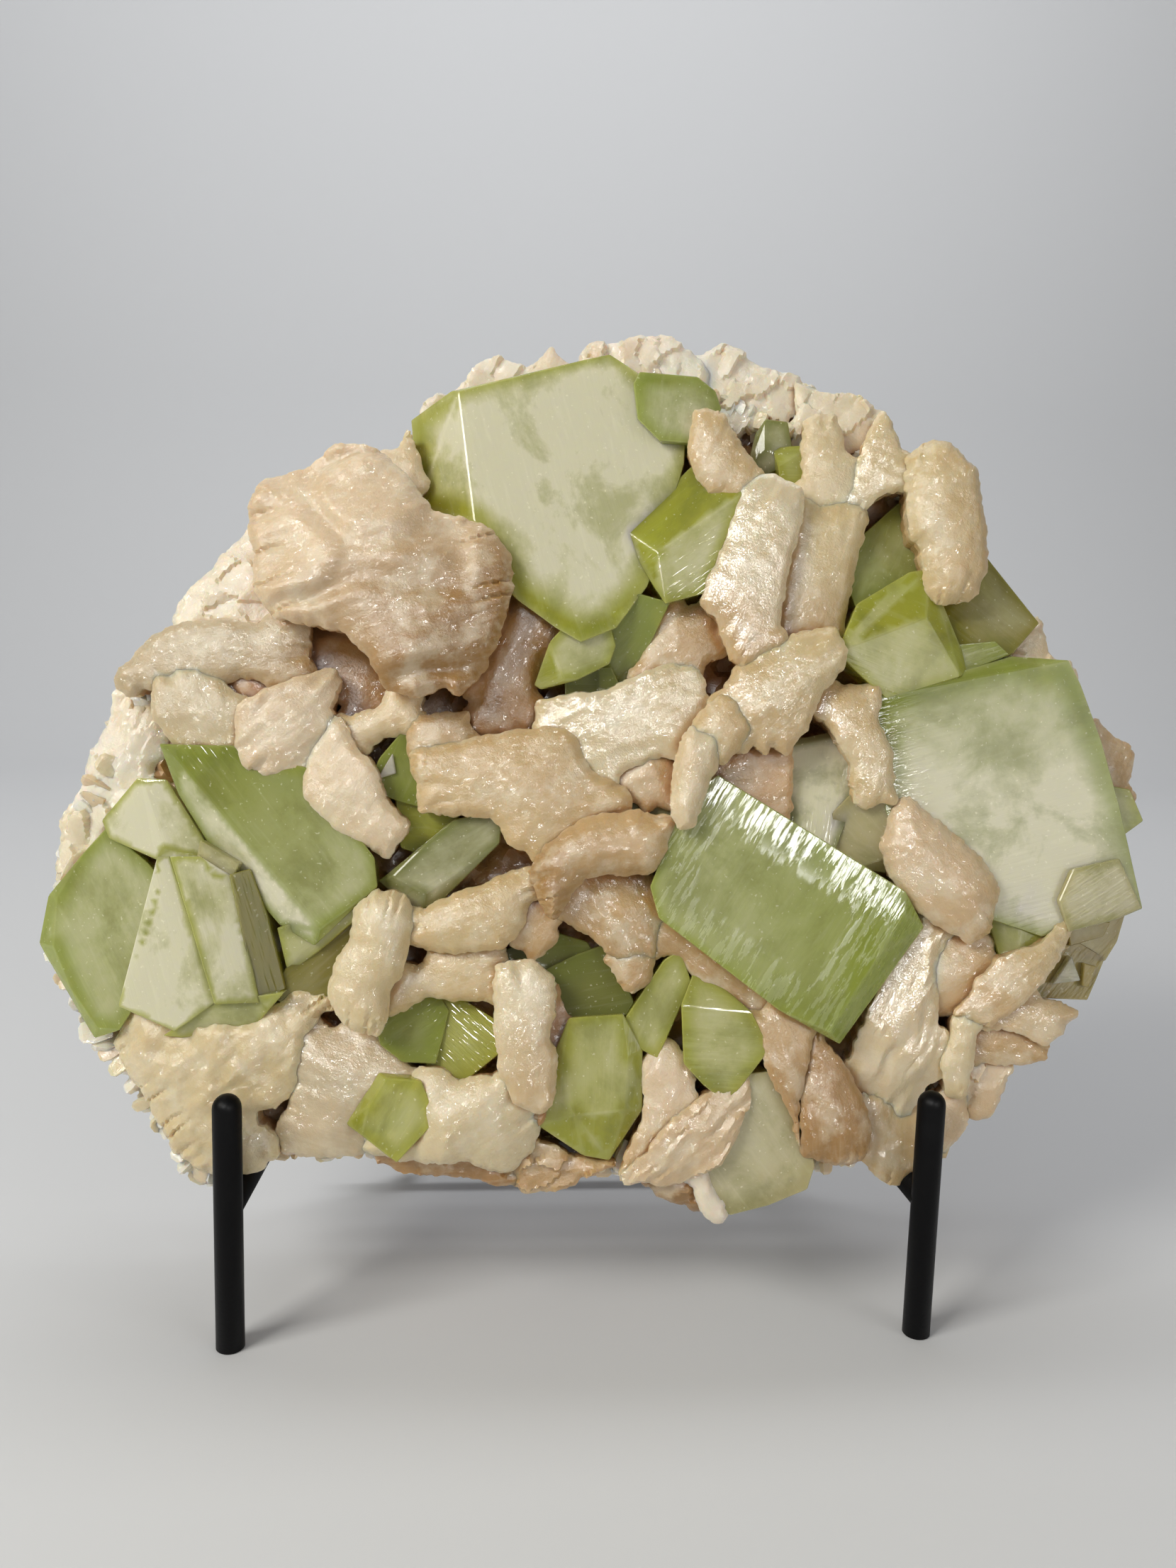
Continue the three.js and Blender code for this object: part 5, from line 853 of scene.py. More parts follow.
def nearest_cell(spots, size, seed):
    """The middle of the cell of a jittered grid that each spot is in, and three numbers of that cell."""
    base = np.floor(spots / size).astype(np.int64)
    best = np.full(len(spots), FAR)
    middle = np.zeros_like(spots)
    chosen = np.zeros((len(spots), 3), np.int64)
    for step in np.ndindex(3, 3):
        cell = base + np.array(step) - 1
        key = np.column_stack([cell, np.zeros(len(cell), np.int64)])
        spot = (cell + np.column_stack([hashed(key, seed), hashed(key, seed + 1)])) * size
        gap = np.linalg.norm(spots - spot, axis=1)
        nearer = gap < best
        best[nearer] = gap[nearer]
        middle[nearer] = spot[nearer]
        chosen[nearer] = key[nearer]
    return middle, np.column_stack([hashed(chosen, seed + k) for k in (2, 3, 4)]) - 0.5


# Blades. Each noise has its own step from the blade's seed, so that no two are alike.
BLADE_SPACING = 0.9
# Step along a blade's rim, in shares of the spacing.
RIM_STEP = 0.9
# Unevenness of the rim: sizes of its two noises, the second one's weight, and how far it goes in all.
RIM_NOISE_SIZES = (2.0, 0.9)
RIM_FINE_WEIGHT = 0.8
RIM_ROUGHNESS = 0.34
SCALLOP_SIZE = 4.5
SCALLOP_LEVEL = 0.35
RIM_SCALLOPS = 0.7
RIM_INSET = 0.15

# The rolled rim: how far it drops and reaches in shares of a blade's roll, and how round it is.
ROLL_DROP = 0.5
ROLL_SHARE = 0.7
ROLL_CURVE = 1.6
CROWN_LEVEL = 0.6

# Growth ribs: sizes along and across the grain, heights, and what combing adds to them.
WARP_SIZE = 9
WARP = 1.6
RIB_SIZES = (14, 2.7)
RIB_HEIGHT = 0.14
COMBED_RIBS = 0.4
FINE_RIB_SIZES = (7, 0.95)
FINE_RIB_HEIGHT = 0.05
COMBED_FINE_RIBS = 0.25
END_RIBS = 0.35

# Fingers at a blade's ends: where the ends begin, in shares of its half length, and the cuts between them.
BLADE_ENDS = (0.45, 1.0)
FINGER_SIZES = (30, 4.2)
FINGER_WARP = 0.6
FINGER_CUT = 0.22
FINGER_DEPTH = 0.8

# Flat breaks: how many, how steep, and where they start in shares of the blade's reach.
BREAKS = 4
BREAK_SLOPES = (0.14, 0.34)
BREAK_STARTS = (0.0, 0.5)

# Small plates on a flaky blade: size, how much longer they are along the grain, height and slope.
FLAKE_SIZE = 5.4
FLAKE_LENGTH = 1.7
FLAKE_HEIGHT = 1.9
FLAKE_SLOPE = 0.8

# Waves, lumps and the sugary grain on top of them.
WAVE_SIZE = 17
GROOVE_SIZE = 21
GROOVE_WIDTH = 0.3
GROOVE_DEPTH = 1.1
LUMP_SIZE = 9
SUGAR = 0.12
SUGAR_SIZES = (1.9, 4.0)
SUGAR_COARSE_WEIGHT = 0.6

# Rows of a blade's wall: share of the depth, and how far the layer there stands in or out.
WALL_ROWS = ((0.04, 0.3), (0.1, -0.15), (0.19, 0.35), (0.3, -0.2), (0.5, 0.25), (0.72, -0.1), (1.0, 0.0))
WALL_TAPER = 0.12
WALL_ROUGHNESS = 0.3
WALL_NOISE_SIZE = 3.0
WALL_SEED_STEPS = 40

# Share of a blade's second tone: to begin with, by its mottles, and by its small plates.
SECOND_TONE = 0.1
MOTTLE = 0.45
MOTTLE_SIZE = 12
FLAKE_TONE = 0.5
# Width of a whitened rim.
WHITE_WIDTH = 16.0


def blade_line(seed, lift, tilt, outline, number, soft, spacing, inset):
    """A blade's rim, evenly spaced, pushed under what covers it, roughened and scalloped."""
    corners = outline if signed_area(np.array(outline, float)) > 0 else outline[::-1]
    step = spacing * RIM_STEP
    line = (curve_through if soft else straight_sided)(corners, step)
    if number >= 0:
        line = evenly_spaced(tucked_in(line, lift, tilt, number), step)
    coarse, fine = RIM_NOISE_SIZES
    rough = noise(line, coarse, seed) + RIM_FINE_WEIGHT * noise(line, fine, seed + 5)
    scallops = SCALLOP_LEVEL - np.abs(noise(line, SCALLOP_SIZE, seed + 9))
    push = rough * RIM_ROUGHNESS + scallops * RIM_SCALLOPS - RIM_INSET - inset
    return line + outward(line) * push[:, None]


def flat_breaks(local, seed):
    """How much is cut off a blade's front by flat breaks that slope down in a few directions."""
    cut = np.zeros(len(local))
    rng = np.random.default_rng(seed)
    for turn in rng.uniform(0, 2 * math.pi, BREAKS):
        reach = local @ np.array([math.cos(turn), math.sin(turn)])
        cut = np.maximum(cut, rng.uniform(*BREAK_SLOPES) * (reach - rng.uniform(*BREAK_STARTS) * reach.max()))
    return cut


def small_plates(along, across, seed):
    """Heights of the small plates of a flaky blade, and one number for each plate."""
    spots = np.column_stack([along / FLAKE_LENGTH, across])
    plate_middle, numbers = nearest_cell(spots, FLAKE_SIZE, seed)
    slope = np.sum((spots - plate_middle) * numbers[:, 1:], 1)
    return numbers[:, 0] * FLAKE_HEIGHT + slope * FLAKE_SLOPE, numbers[:, 0]


def waved(points, seed):
    """Broad waves with grooves between them."""
    grooves = smoothstep(GROOVE_WIDTH, 0.0, np.abs(noise(points, GROOVE_SIZE, seed + 13)))
    return noise(points, WAVE_SIZE, seed + 12) - GROOVE_DEPTH * grooves


def sugared(points, seed):
    """Fine grain like sugar, from two noises."""
    fine, coarse = SUGAR_SIZES
    return noise(points, fine, seed + 14) + SUGAR_COARSE_WEIGHT * noise(points, coarse, seed + 15)


def blade_relief(points, local, half, gap, seed, roll, crown, lobes=1.0, waves=0.0, facets=0.3, flakes=0.0,
                 combed=0.0, lumps=0.28):
    """Heights of a blade's front over its tilted plane, and the tones of its small plates."""
    along, across = local[:, 0], local[:, 1]
    rounded = 1 - (1 - np.clip(gap / roll, 0, 1))**ROLL_CURVE
    swell = 1 - (1 - np.clip(gap / max(gap.max(), 1.0), 0, 1))**2
    warp = noise(points, WARP_SIZE, seed + 2) * WARP
    ribs = stretched_noise(along, across + warp, RIB_SIZES, seed + 3)
    fine_ribs = stretched_noise(along, across + warp, FINE_RIB_SIZES, seed + 4)
    ends = smoothstep(*BLADE_ENDS, np.abs(along) / half[0])
    fingers = np.abs(stretched_noise(along, across + warp * FINGER_WARP, FINGER_SIZES, seed + 6))
    plate_heights, plate_tones = small_plates(along, across, seed + 20)
    height = (
        -ROLL_DROP * roll * (1 - rounded)
        + crown * (swell - CROWN_LEVEL)
        + rounded * (RIB_HEIGHT + combed * COMBED_RIBS) * ribs
        + rounded * (FINE_RIB_HEIGHT + combed * COMBED_FINE_RIBS) * fine_ribs
        - lobes * ends * smoothstep(FINGER_CUT, 0.0, fingers) * FINGER_DEPTH
        + waves * waved(points, seed)
        - facets * flat_breaks(local, seed)
        + flakes * plate_heights
        + lumps * layered_noise(points, LUMP_SIZE, octaves=3, seed=seed + 7)
        + SUGAR * sugared(points, seed) * rounded
        + END_RIBS * ends * ribs * rounded
    )
    return height, plate_tones * flakes


def wall_rows(line, axes, height, depth, seed):
    """Rows down a blade's wall: flat places, drawn in towards the back, and their heights."""
    for share, stand_out in WALL_ROWS:
        taper = drawn_in(line, axes, depth * WALL_TAPER * share)
        layer_noise = noise(line, WALL_NOISE_SIZE, seed + 11 + round(share * WALL_SEED_STEPS))
        push = stand_out + WALL_ROUGHNESS * layer_noise
        row = taper + outward(taper) * np.where(share < 1, push, 0)[:, None]
        yield row, height * (1 - share) - depth * share


def wall_faces(after, count):
    """Faces of a blade's wall, whose rows start after the front's points, and of its back."""
    faces = []
    start = 0
    for _ in WALL_ROWS:
        for i in range(count):
            j = (i + 1) % count
            faces.append((start + i, after + i, after + j, start + j))
        start, after = after, after + count
    faces.append(tuple(start + i for i in reversed(range(count))))
    return faces


def blade(shell, seed, lift, tilt, grain, roll, depth, tones, outline, number=-1, gloss=0.0, stain=0.0,
          crown=1.0, soft=False, rim_white=0.0, fade=(0, 0), spacing=BLADE_SPACING, inset=0.0, **relief):
    """Adds one stilbite blade: a crowned, ribbed front with a rounded rim, walls of layers and a back."""
    line = blade_line(seed, lift, tilt, outline, number, soft, spacing, inset)
    count = len(line)
    points, triangles = filled(line, spacing)
    axes = turned_axes(grain)
    turned = line @ axes.T
    middle, half = box_middle(turned), box_half(turned)
    local = points @ axes.T - middle
    gap = edge_distance(points, line)
    gap[:count] = 0
    roll = ROLL_SHARE * roll
    height, plate_tones = blade_relief(points, local, half, gap, seed, roll, crown, **relief)
    plane_middle = box_middle(points)
    rim_drop = ROLL_DROP * roll + CROWN_LEVEL * crown

    def placed(flat, lifted):
        made = seen_at(flat, on_plane(flat, lift - rim_drop, tilt, plane_middle))
        made[:, 2] += rim_drop + lifted
        return made

    walls = [placed(*row) for row in wall_rows(line, axes, height[:count], depth, seed)]
    places = np.vstack([placed(points, height), *walls])
    all_local = np.vstack([local, np.vstack([line] * len(WALL_ROWS)) @ axes.T - middle])
    mottle = 0.5 + 0.5 * layered_noise(places, MOTTLE_SIZE, octaves=2, seed=seed + 8)
    # Painted shade in part: the fade adds the second tone towards the side turned from the light on most
    # blades.
    leaning = (all_local @ axes / np.linalg.norm(half)) @ np.array(fade)
    all_tones = np.concatenate([plate_tones, np.zeros(len(places) - len(points))])
    second = np.clip(SECOND_TONE + MOTTLE * mottle + leaning + FLAKE_TONE * all_tones, 0, 1)[:, None]
    colours = np.array(tones[0]) * (1 - second) + np.array(tones[1]) * second
    below = [np.full(count, -share * depth) for share, _ in WALL_ROWS]
    edge_gap = np.concatenate([gap, *below])
    pale = rim_white * smoothstep(WHITE_WIDTH, 0, edge_gap)[:, None]
    colours = colours * (1 - pale) + np.array(WHITE) * pale
    # The second look is the stain together with painted shade, which grows in crevices.
    looks = np.column_stack([np.full(len(places), gloss), np.full(len(places), stain), edge_gap])
    grains = np.column_stack([all_local, places[:, 2]])
    shell.add(places, triangles + wall_faces(len(points), count), colours, looks, grains)


# Painted crevice shade: the stilbite is darkened towards orange and brown where its points are shut in.
# In metres, how far a look goes for what shuts a point in, and how far off the surface it starts.
CREVICE_REACH = 0.013
CREVICE_START = 0.0008
# Directions of the looks: lean from the normal, turn about it, weight.
CREVICE_LOOKS = ((0.0, 0.0, 1.0), *((0.9, k * math.pi / 3, 0.8) for k in range(6)))
CREVICE_SMOOTHING = 2
# Shares of the looks that are shut in at which the painted crevice shade starts and is full.
CREVICE_SHADE = (0.22, 0.72)
# Distances from a blade's rim, in millimetres, at which the painted crevice shade starts and is full.
RIM_FREE_OF_SHADE = (0.6, 3.2)
# Above this a normal is too upright to be crossed with the upright axis.
UPRIGHT = 0.9


def tree_of(pieces):
    """Search tree of all the pieces' faces."""
    places, faces = [], []
    for piece in pieces:
        count = len(places)
        places += read_vectors(piece.data.vertices, "co").tolist()
        faces += [[v + count for v in p.vertices] for p in piece.data.polygons]
    return BVHTree.FromPolygons(places, faces)


def shut_in(mesh, tree):
    """How much of what each point looks at is near, from 0 to 1."""
    here = read_vectors(mesh.vertices, "co")
    normals = read_vectors(mesh.vertex_normals, "vector")
    side = np.cross(normals, np.where(np.abs(normals[:, 2:]) < UPRIGHT, [[0, 0, 1.0]], [[1.0, 0, 0]]))
    side /= np.maximum(np.linalg.norm(side, axis=1), 1e-9)[:, None]
    other = np.cross(normals, side)
    shut = np.zeros(len(here))
    starts = (here + normals * CREVICE_START).tolist()
    for lean, turn, weight in CREVICE_LOOKS:
        ways = (normals * math.cos(lean) + side * (math.sin(lean) * math.cos(turn))
                + other * (math.sin(lean) * math.sin(turn))).tolist()
        hits = [tree.ray_cast(start, way, CREVICE_REACH)[3] for start, way in zip(starts, ways)]
        shut += weight * np.array([0.0 if hit is None else 1 - hit / CREVICE_REACH for hit in hits])
    return shut / sum(weight for _, _, weight in CREVICE_LOOKS)


def spread_out(mesh, values):
    """Each point's value averaged with its neighbours'."""
    ends = np.empty(len(mesh.edges) * 2, int)
    mesh.edges.foreach_get("vertices", ends)
    one, other = ends.reshape(-1, 2).T
    size = len(values)
    neighbours = np.bincount(ends, minlength=size)
    for _ in range(CREVICE_SMOOTHING):
        total = np.bincount(one, values[other], size) + np.bincount(other, values[one], size)
        values = (values + total) / (1 + neighbours)
    return values


def paint_crevice_shade(pieces, others):
    """Adds painted shade to each point's stain by how shut in it is by what stands around it."""
    tree = tree_of([*pieces, *others])
    for piece in pieces:
        mesh = piece.data
        shut = spread_out(mesh, shut_in(mesh, tree))
        layer = mesh.attributes["look"].data
        look = read_vectors(layer, "vector")
        away = smoothstep(*RIM_FREE_OF_SHADE, np.abs(look[:, 2]))
        # Painted shade: the stain value rises where the point is shut in, away from the rims.
        look[:, 1] = np.clip(look[:, 1] + smoothstep(*CREVICE_SHADE, shut) * away, 0, 1)
        layer.foreach_set("vector", look.ravel())


CRYSTAL_SPACING = 1.7
# A crystal's hull: its bevel, the angle below which faces count as one, and the distance that joins points.
CRYSTAL_BEVEL = 0.3
SAME_FACE = math.radians(1.0)
SAME_POINT = 0.02
# A crystal's root: its lift, and its width in shares of the front.
CRYSTAL_BACK = -30.0
ROOT_WIDTH = 0.85
# Faces below this area have no points of their own.
SMALL_FACE = 1.5
# How far a face's normal stands out at least, for a tip and for a front. Other faces are sides.
FACING = 0.35
FLATNESS = 0.97
# What is added to the milk: a random part on fronts, and on sides enough to clear them.
FRONT_SHIFT = 0.08
SIDE_SHIFT = -1.0
# Share of the milk at the edge, distance from it at which the rest begins to come in, distance at which
# a shift is full, and the most milk.
EDGE_MILK = 0.2
MILK_START = 0.3
SHIFT_WIDTH = 3
MOST_MILK = 1.4


def hull_faces(points):
    """Corners and flat faces of the convex body around the points, its edges slightly bevelled."""
    body = bmesh.new()
    for p in points:
        body.verts.new(p)
    bmesh.ops.convex_hull(body, input=body.verts[:])
    loose = [v for v in body.verts if not v.link_faces]
    bmesh.ops.delete(body, geom=loose, context="VERTS")
    bmesh.ops.dissolve_limit(body, angle_limit=SAME_FACE, verts=body.verts[:], edges=body.edges[:])
    bmesh.ops.recalc_face_normals(body, faces=body.faces[:])
    bmesh.ops.bevel(body, geom=body.edges[:], offset=CRYSTAL_BEVEL, segments=1, affect="EDGES",
                    clamp_overlap=True)
    bmesh.ops.remove_doubles(body, verts=body.verts[:], dist=SAME_POINT)
    corners = np.array([v.co[:] for v in body.verts])
    faces = [([v.index for v in f.verts], np.array(f.normal)) for f in body.faces]
    body.free()
    return corners, faces


def crystal_hull(corners, drops, middle, lift, tilt):
    """The body from a crystal's corners back to its narrower root."""
    outermost = [pick(corners[:, axis]) for axis in (0, 1) for pick in (np.argmin, np.argmax)]
    root = middle + (corners[outermost] - middle) * ROOT_WIDTH
    near = 1 - on_plane(root, lift, tilt, middle) / EYE_DISTANCE
    backs = np.column_stack([root * near[:, None], face_out(root[:, 0], root[:, 1], CRYSTAL_BACK)])
    tops = on_plane(corners, lift, tilt, middle)
    return hull_faces(np.vstack([seen_at(corners, tops - drops), backs]))


class FinePoints:
    """Points of a crystal: its corners, then those along its edges and on its faces."""

    def __init__(self, corners):
        self.places, self.gaps, self.shifts = [], [], []
        self.count = 0
        self.on_edges = {}
        self.add(corners, np.zeros(len(corners)))

    def add(self, places, gaps, shift=0.0):
        """Adds points with their distances from the edge and a shift of their milk. Returns their numbers."""
        start = self.count
        self.places.append(places)
        self.gaps.append(gaps)
        self.shifts.append(np.full(len(places), shift))
        self.count += len(places)
        return list(range(start, self.count))

    def between(self, a, b):
        """Numbers of the points from corner a to corner b, which the faces on both sides share."""
        key = (min(a, b), max(a, b))
        if key not in self.on_edges:
            start, end = self.places[0][key[0]], self.places[0][key[1]]
            parts = max(1, round(np.linalg.norm(end - start) / CRYSTAL_SPACING))
            shares = np.arange(1, parts)[:, None] / parts
            self.on_edges[key] = self.add(start + (end - start) * shares, np.zeros(parts - 1))
        made = self.on_edges[key]
        return made if a == key[0] else made[::-1]

    def fill_face(self, loop, normal, shift_of):
        """Triangles of one flat face."""
        rim = []
        for a, b in zip(loop, loop[1:] + loop[:1]):
            rim += [a, *self.between(a, b)]
        places = np.vstack(self.places)[rim]
        side = np.array(Vector(normal).orthogonal().normalized())
        up = np.cross(normal, side)
        flat = np.column_stack([(places - places[0]) @ side, (places - places[0]) @ up])
        if len(rim) < 4 or np.abs(signed_area(flat)) < SMALL_FACE:
            return [tuple(rim)]
        points, triangles = filled(flat, CRYSTAL_SPACING)
        added = points[len(flat):]
        on_face = places[0] + added[:, :1] * side + added[:, 1:] * up
        index = rim + self.add(on_face, edge_distance(added, flat), shift_of(normal))
        return [tuple(index[v] for v in triangle) for triangle in triangles]


def crystal(shell, seed, lift, tilt, front, rim, leaf, cloud, border=9.0, streaks=0, fade=(0, 0), clear=0.45,
            tip=0.0):
    """Adds one apophyllite crystal, a convex body with fine points on each flat face."""
    corners = crystal_corners(front, rim)
    drops = np.array([0.0] * len(front) + [p[2] for p in rim])
    middle = box_middle(corners)
    corners = tucked_corners(corners, middle, lift, tilt)
    half = np.linalg.norm(corners.max(0) - corners.min(0)) / 2
    hull_corners, faces = crystal_hull(corners, drops, middle, lift, tilt)
    rng = np.random.default_rng(seed)

    def shift_of(normal):
        if normal[2] > FLATNESS:
            return rng.uniform(-FRONT_SHIFT, FRONT_SHIFT)
        return tip if normal[2] > FACING else SIDE_SHIFT

    fine = FinePoints(hull_corners)
    made = []
    for loop, normal in faces:
        made += fine.fill_face(loop, normal, shift_of)
    places = np.vstack(fine.places)
    flat_places = places[:, :2] / (1 - places[:, 2:] / EYE_DISTANCE)
    leaning = (flat_places - middle) / half @ np.array(fade)
    inner = edge_distance(flat_places, ring_of(corners))
    milk = cloud * (EDGE_MILK + (1 - EDGE_MILK) * smoothstep(MILK_START, border, inner))
    milk += (leaning + np.concatenate(fine.shifts)) * smoothstep(0, SHIFT_WIDTH, inner)
    gaps = np.concatenate(fine.gaps)
    looks = np.column_stack([np.full(fine.count, clear), np.clip(milk, 0, MOST_MILK), gaps])
    turn = np.eye(3)
    turn[:2, :2] = turned_axes(streaks)
    shell.add(places, made, np.tile(np.array(leaf), (fine.count, 1)), looks, places @ turn.T)


def new_material(name):
    material = bpy.data.materials.new(name)
    material.use_nodes = True
    material.node_tree.nodes.clear()
    return material, material.node_tree


def rgba(colour):
    return (*colour, 1.0)


def feed(tree, socket, value):
    """Gives an input its value: a number, a colour, or another node's output."""
    if isinstance(value, bpy.types.NodeSocket):
        tree.links.new(value, socket)
    else:
        socket.default_value = value


def add(tree, kind, inputs=(), **settings):
    """Adds a node with its settings and inputs."""
    made = tree.nodes.new(kind)
    for key, value in settings.items():
        setattr(made, key, value)
    for key, value in dict(inputs).items():
        feed(tree, made.inputs[key], value)
    return made


def maths(tree, operation, *values, clamp=False):
    made = add(tree, "ShaderNodeMath", enumerate(values), operation=operation)
    made.use_clamp = clamp
    return made.outputs[0]


def times(tree, one, other, clamp=False):
    return maths(tree, "MULTIPLY", one, other, clamp=clamp)


def plus(tree, one, other, clamp=False):
    return maths(tree, "ADD", one, other, clamp=clamp)


# The Mix node's inputs and output for colours.
MIX_SHARE, MIX_FIRST, MIX_SECOND, MIXED = 0, 6, 7, 2


def mixed(tree, share, first, second):
    """A colour between two, which are colours or outputs."""
    made = add(tree, "ShaderNodeMix", {MIX_SHARE: share}, data_type="RGBA")
    for key, value in ((MIX_FIRST, first), (MIX_SECOND, second)):
        feed(tree, made.inputs[key], value if isinstance(value, bpy.types.NodeSocket) else rgba(value))
    return made.outputs[MIXED]


def stretched(tree, vector, scale):
    return add(tree, "ShaderNodeMapping", {"Vector": vector, "Scale": scale}).outputs["Vector"]


def ramp(tree, value, low, high):
    """0 where the value is low and 1 where it is high, with a soft step between."""
    made = add(tree, "ShaderNodeMapRange", {"Value": value, "From Min": low, "From Max": high})
    made.interpolation_type = "SMOOTHSTEP"
    return made.outputs["Result"]


def layered(tree, value, low, high, most):
    """A ramp that goes up to the most."""
    return times(tree, ramp(tree, value, low, high), most)


def noise_texture(tree, vector, scale=1.0, detail=2.0, roughness=0.5, distortion=0.0):
    made = add(tree, "ShaderNodeTexNoise", {"Vector": vector, "Scale": scale, "Detail": detail,
                                            "Roughness": roughness, "Distortion": distortion})
    return made.outputs["Fac"]


def bumped(tree, height, strength, distance):
    """Normals of a relief whose height goes up to a distance in millimetres."""
    made = add(tree, "ShaderNodeBump", {"Height": height, "Strength": strength, "Distance": distance * MM})
    return made.outputs["Normal"]


def surfaced(tree, inputs, **outputs):
    """Adds the Principled shader and the material's output."""
    skin = add(tree, "ShaderNodeBsdfPrincipled", inputs)
    add(tree, "ShaderNodeOutputMaterial", {"Surface": skin.outputs["BSDF"], **outputs})


def attribute(tree, name, output):
    return add(tree, "ShaderNodeAttribute", attribute_name=name).outputs[output]


def look_of(tree):
    return add(tree, "ShaderNodeSeparateXYZ", {"Vector": attribute(tree, "look", "Vector")}).outputs


def place_on(tree):
    return add(tree, "ShaderNodeTexCoord").outputs["Object"]


def vector_maths(tree, operation, inputs):
    return add(tree, "ShaderNodeVectorMath", inputs, operation=operation).outputs["Vector"]


def tilted_facets(tree, normal, cells, spread):
    """The normal leaned a different way in each cell."""
    tilts = vector_maths(tree, "SUBTRACT", {0: cells, 1: (0.5, 0.5, 0.5)})
    leaned = vector_maths(tree, "SCALE", {0: tilts, "Scale": spread})
    total = vector_maths(tree, "ADD", {0: normal, 1: leaned})
    return vector_maths(tree, "NORMALIZE", {0: total})


# Stilbite's noises: how they are stretched along the grain, across it and in depth, or their scale.
FIBRE_STRETCH = (0.08, 0.9, 0.4)
GRIT_STRETCH = (0.7, 1.3, 1.3)
CLOUD_SCALE = 0.11
SUGAR_SCALE = 1.4
# Layers of colour: values of a noise at which one starts and is full, and the most of it.
PALE_STREAKS = (0.4, 0.75, 0.12)
PALE_CLOUDS = (0.46, 0.68, 0.45)
PEACH_CLOUDS = (0.47, 0.25, 0.3)
# Blotches and least share of the colour of the stain and the painted crevice shade.
STAIN_AND_SHADE_BLOTCHES = (0.3, 0.6, 0.5)
STAIN_AND_SHADE_LEVEL = 0.55
# Layers by the distance from a blade's rim in millimetres, which is below zero on its walls: a painted
# highlight of white along the thin rims, and painted shade of honey on the walls.
RIM_HIGHLIGHT = (1.3, 0.0, 0.06)
HONEY_WALL_SHADE = (-0.6, -7.0, 0.6)
FIBRE_RELIEF = 0.3
# A dull blade's roughness and coat, and how far full gloss smooths it, coats it and steadies its facets.
ROUGHNESS = 0.38
COAT = 0.42
GLOSS_SMOOTHS = 0.15
GLOSS_COATS = 0.58
GLOSS_STEADIES = 0.8


def stilbite_material():
    material, tree = new_material("stilbite")
    tint = attribute(tree, "tint", "Color")
    gloss, stain, gap = look_of(tree)
    grain = attribute(tree, "grain", "Vector")
    fibre = noise_texture(tree, stretched(tree, grain, FIBRE_STRETCH))
    cloud = noise_texture(tree, grain, CLOUD_SCALE, detail=5.0, roughness=0.6)
    sugar = noise_texture(tree, grain, SUGAR_SCALE, roughness=0.7)
    grit = add(tree, "ShaderNodeTexVoronoi", {"Vector": stretched(tree, grain, GRIT_STRETCH), "Scale": 1.0})
    pale = mixed(tree, layered(tree, fibre, *PALE_STREAKS), tint, CLOUD)
    pale = mixed(tree, layered(tree, cloud, *PALE_CLOUDS), pale, CLOUD)
    warm = mixed(tree, layered(tree, cloud, *PEACH_CLOUDS), pale, PEACH)
    # Painted highlight along the rims, then painted shade on the walls.
    warm = mixed(tree, layered(tree, gap, *RIM_HIGHLIGHT), warm, WHITE)
    warm = mixed(tree, layered(tree, gap, *HONEY_WALL_SHADE), warm, HONEY)
    # Stain and painted shade: the colour goes to orange, and to brown where it is strongest.
    stain_and_shade_share = times(tree, stain, plus(tree, layered(tree, cloud, *STAIN_AND_SHADE_BLOTCHES), STAIN_AND_SHADE_LEVEL), clamp=True)
    deep = mixed(tree, times(tree, stain, stain), ORANGE, BROWN)
    relief = plus(tree, times(tree, fibre, FIBRE_RELIEF), sugar)
    normal = bumped(tree, relief, strength=0.4, distance=0.45)
    spread = maths(tree, "SUBTRACT", 1.0, times(tree, gloss, GLOSS_STEADIES))
    surfaced(tree, {
        "Base Color": mixed(tree, stain_and_shade_share, warm, deep),
        "Roughness": maths(tree, "SUBTRACT", ROUGHNESS, times(tree, gloss, GLOSS_SMOOTHS)),
        "IOR": 1.49,
        "Subsurface Weight": 0.6,
        "Subsurface Radius": (1.0, 0.65, 0.35),
        "Subsurface Scale": 3.0 * MM,
        "Normal": normal,
        "Coat Weight": plus(tree, COAT, times(tree, gloss, GLOSS_COATS), clamp=True),
        "Coat Roughness": 0.07,
        "Coat IOR": 1.6,
        "Coat Normal": tilted_facets(tree, normal, grit.outputs["Color"], spread),
    })
    return material


# Apophyllite's noises, stretched along the growth lines, across them and in depth.
BILLOW_STRETCH = (0.045, 0.055, 0.05)
WISP_STRETCH = (0.05, 0.5, 0.3)
ETCH_STRETCH = (0.09, 0.55, 0.3)
RIPPLE_STRETCH = (0.05, 1.1, 0.6)
SPECK_SCALE = 0.9
# Layers: values of a noise at which one starts and is full, and the most of it.
MILK_PUFFS = (0.3, 0.66, 0.65)
MILK_LEVEL = 0.42
VEIL_WISPS = (0.52, 0.75, 0.08)
# Pale flecks, partly specks in the crystal and partly painted glints.
FLECKS_AND_GLINTS = (0.68, 0.78, 0.4)
MOSS_SHADE = (0.55, 0.35, 0.5)
# Painted highlight: the pale ridge along the edges, by the distance from them in millimetres.
RIDGE_HIGHLIGHT = (0.35, 0.0, 0.05)
# Share of the clearness that full milk takes away.
MILK_COVER = 0.8
# Etched patches: values of their noise, distances from the edge, and how clear the crystal is that has them.
ETCHED = (0.49, 0.56)
ETCHED_GAP = (14.0, 6.0)
ETCHED_CLEAR = (0.44, 0.34)
# Roughness of a polished face, and what the patches add to it.
POLISHED = 0.04
ETCHED_ROUGHER = 0.6
# Colour of what the body's depth lets through, and how fast it takes the rest.
ABSORBED = (0.78, 0.82, 0.28)
ABSORB_DENSITY = 18.0


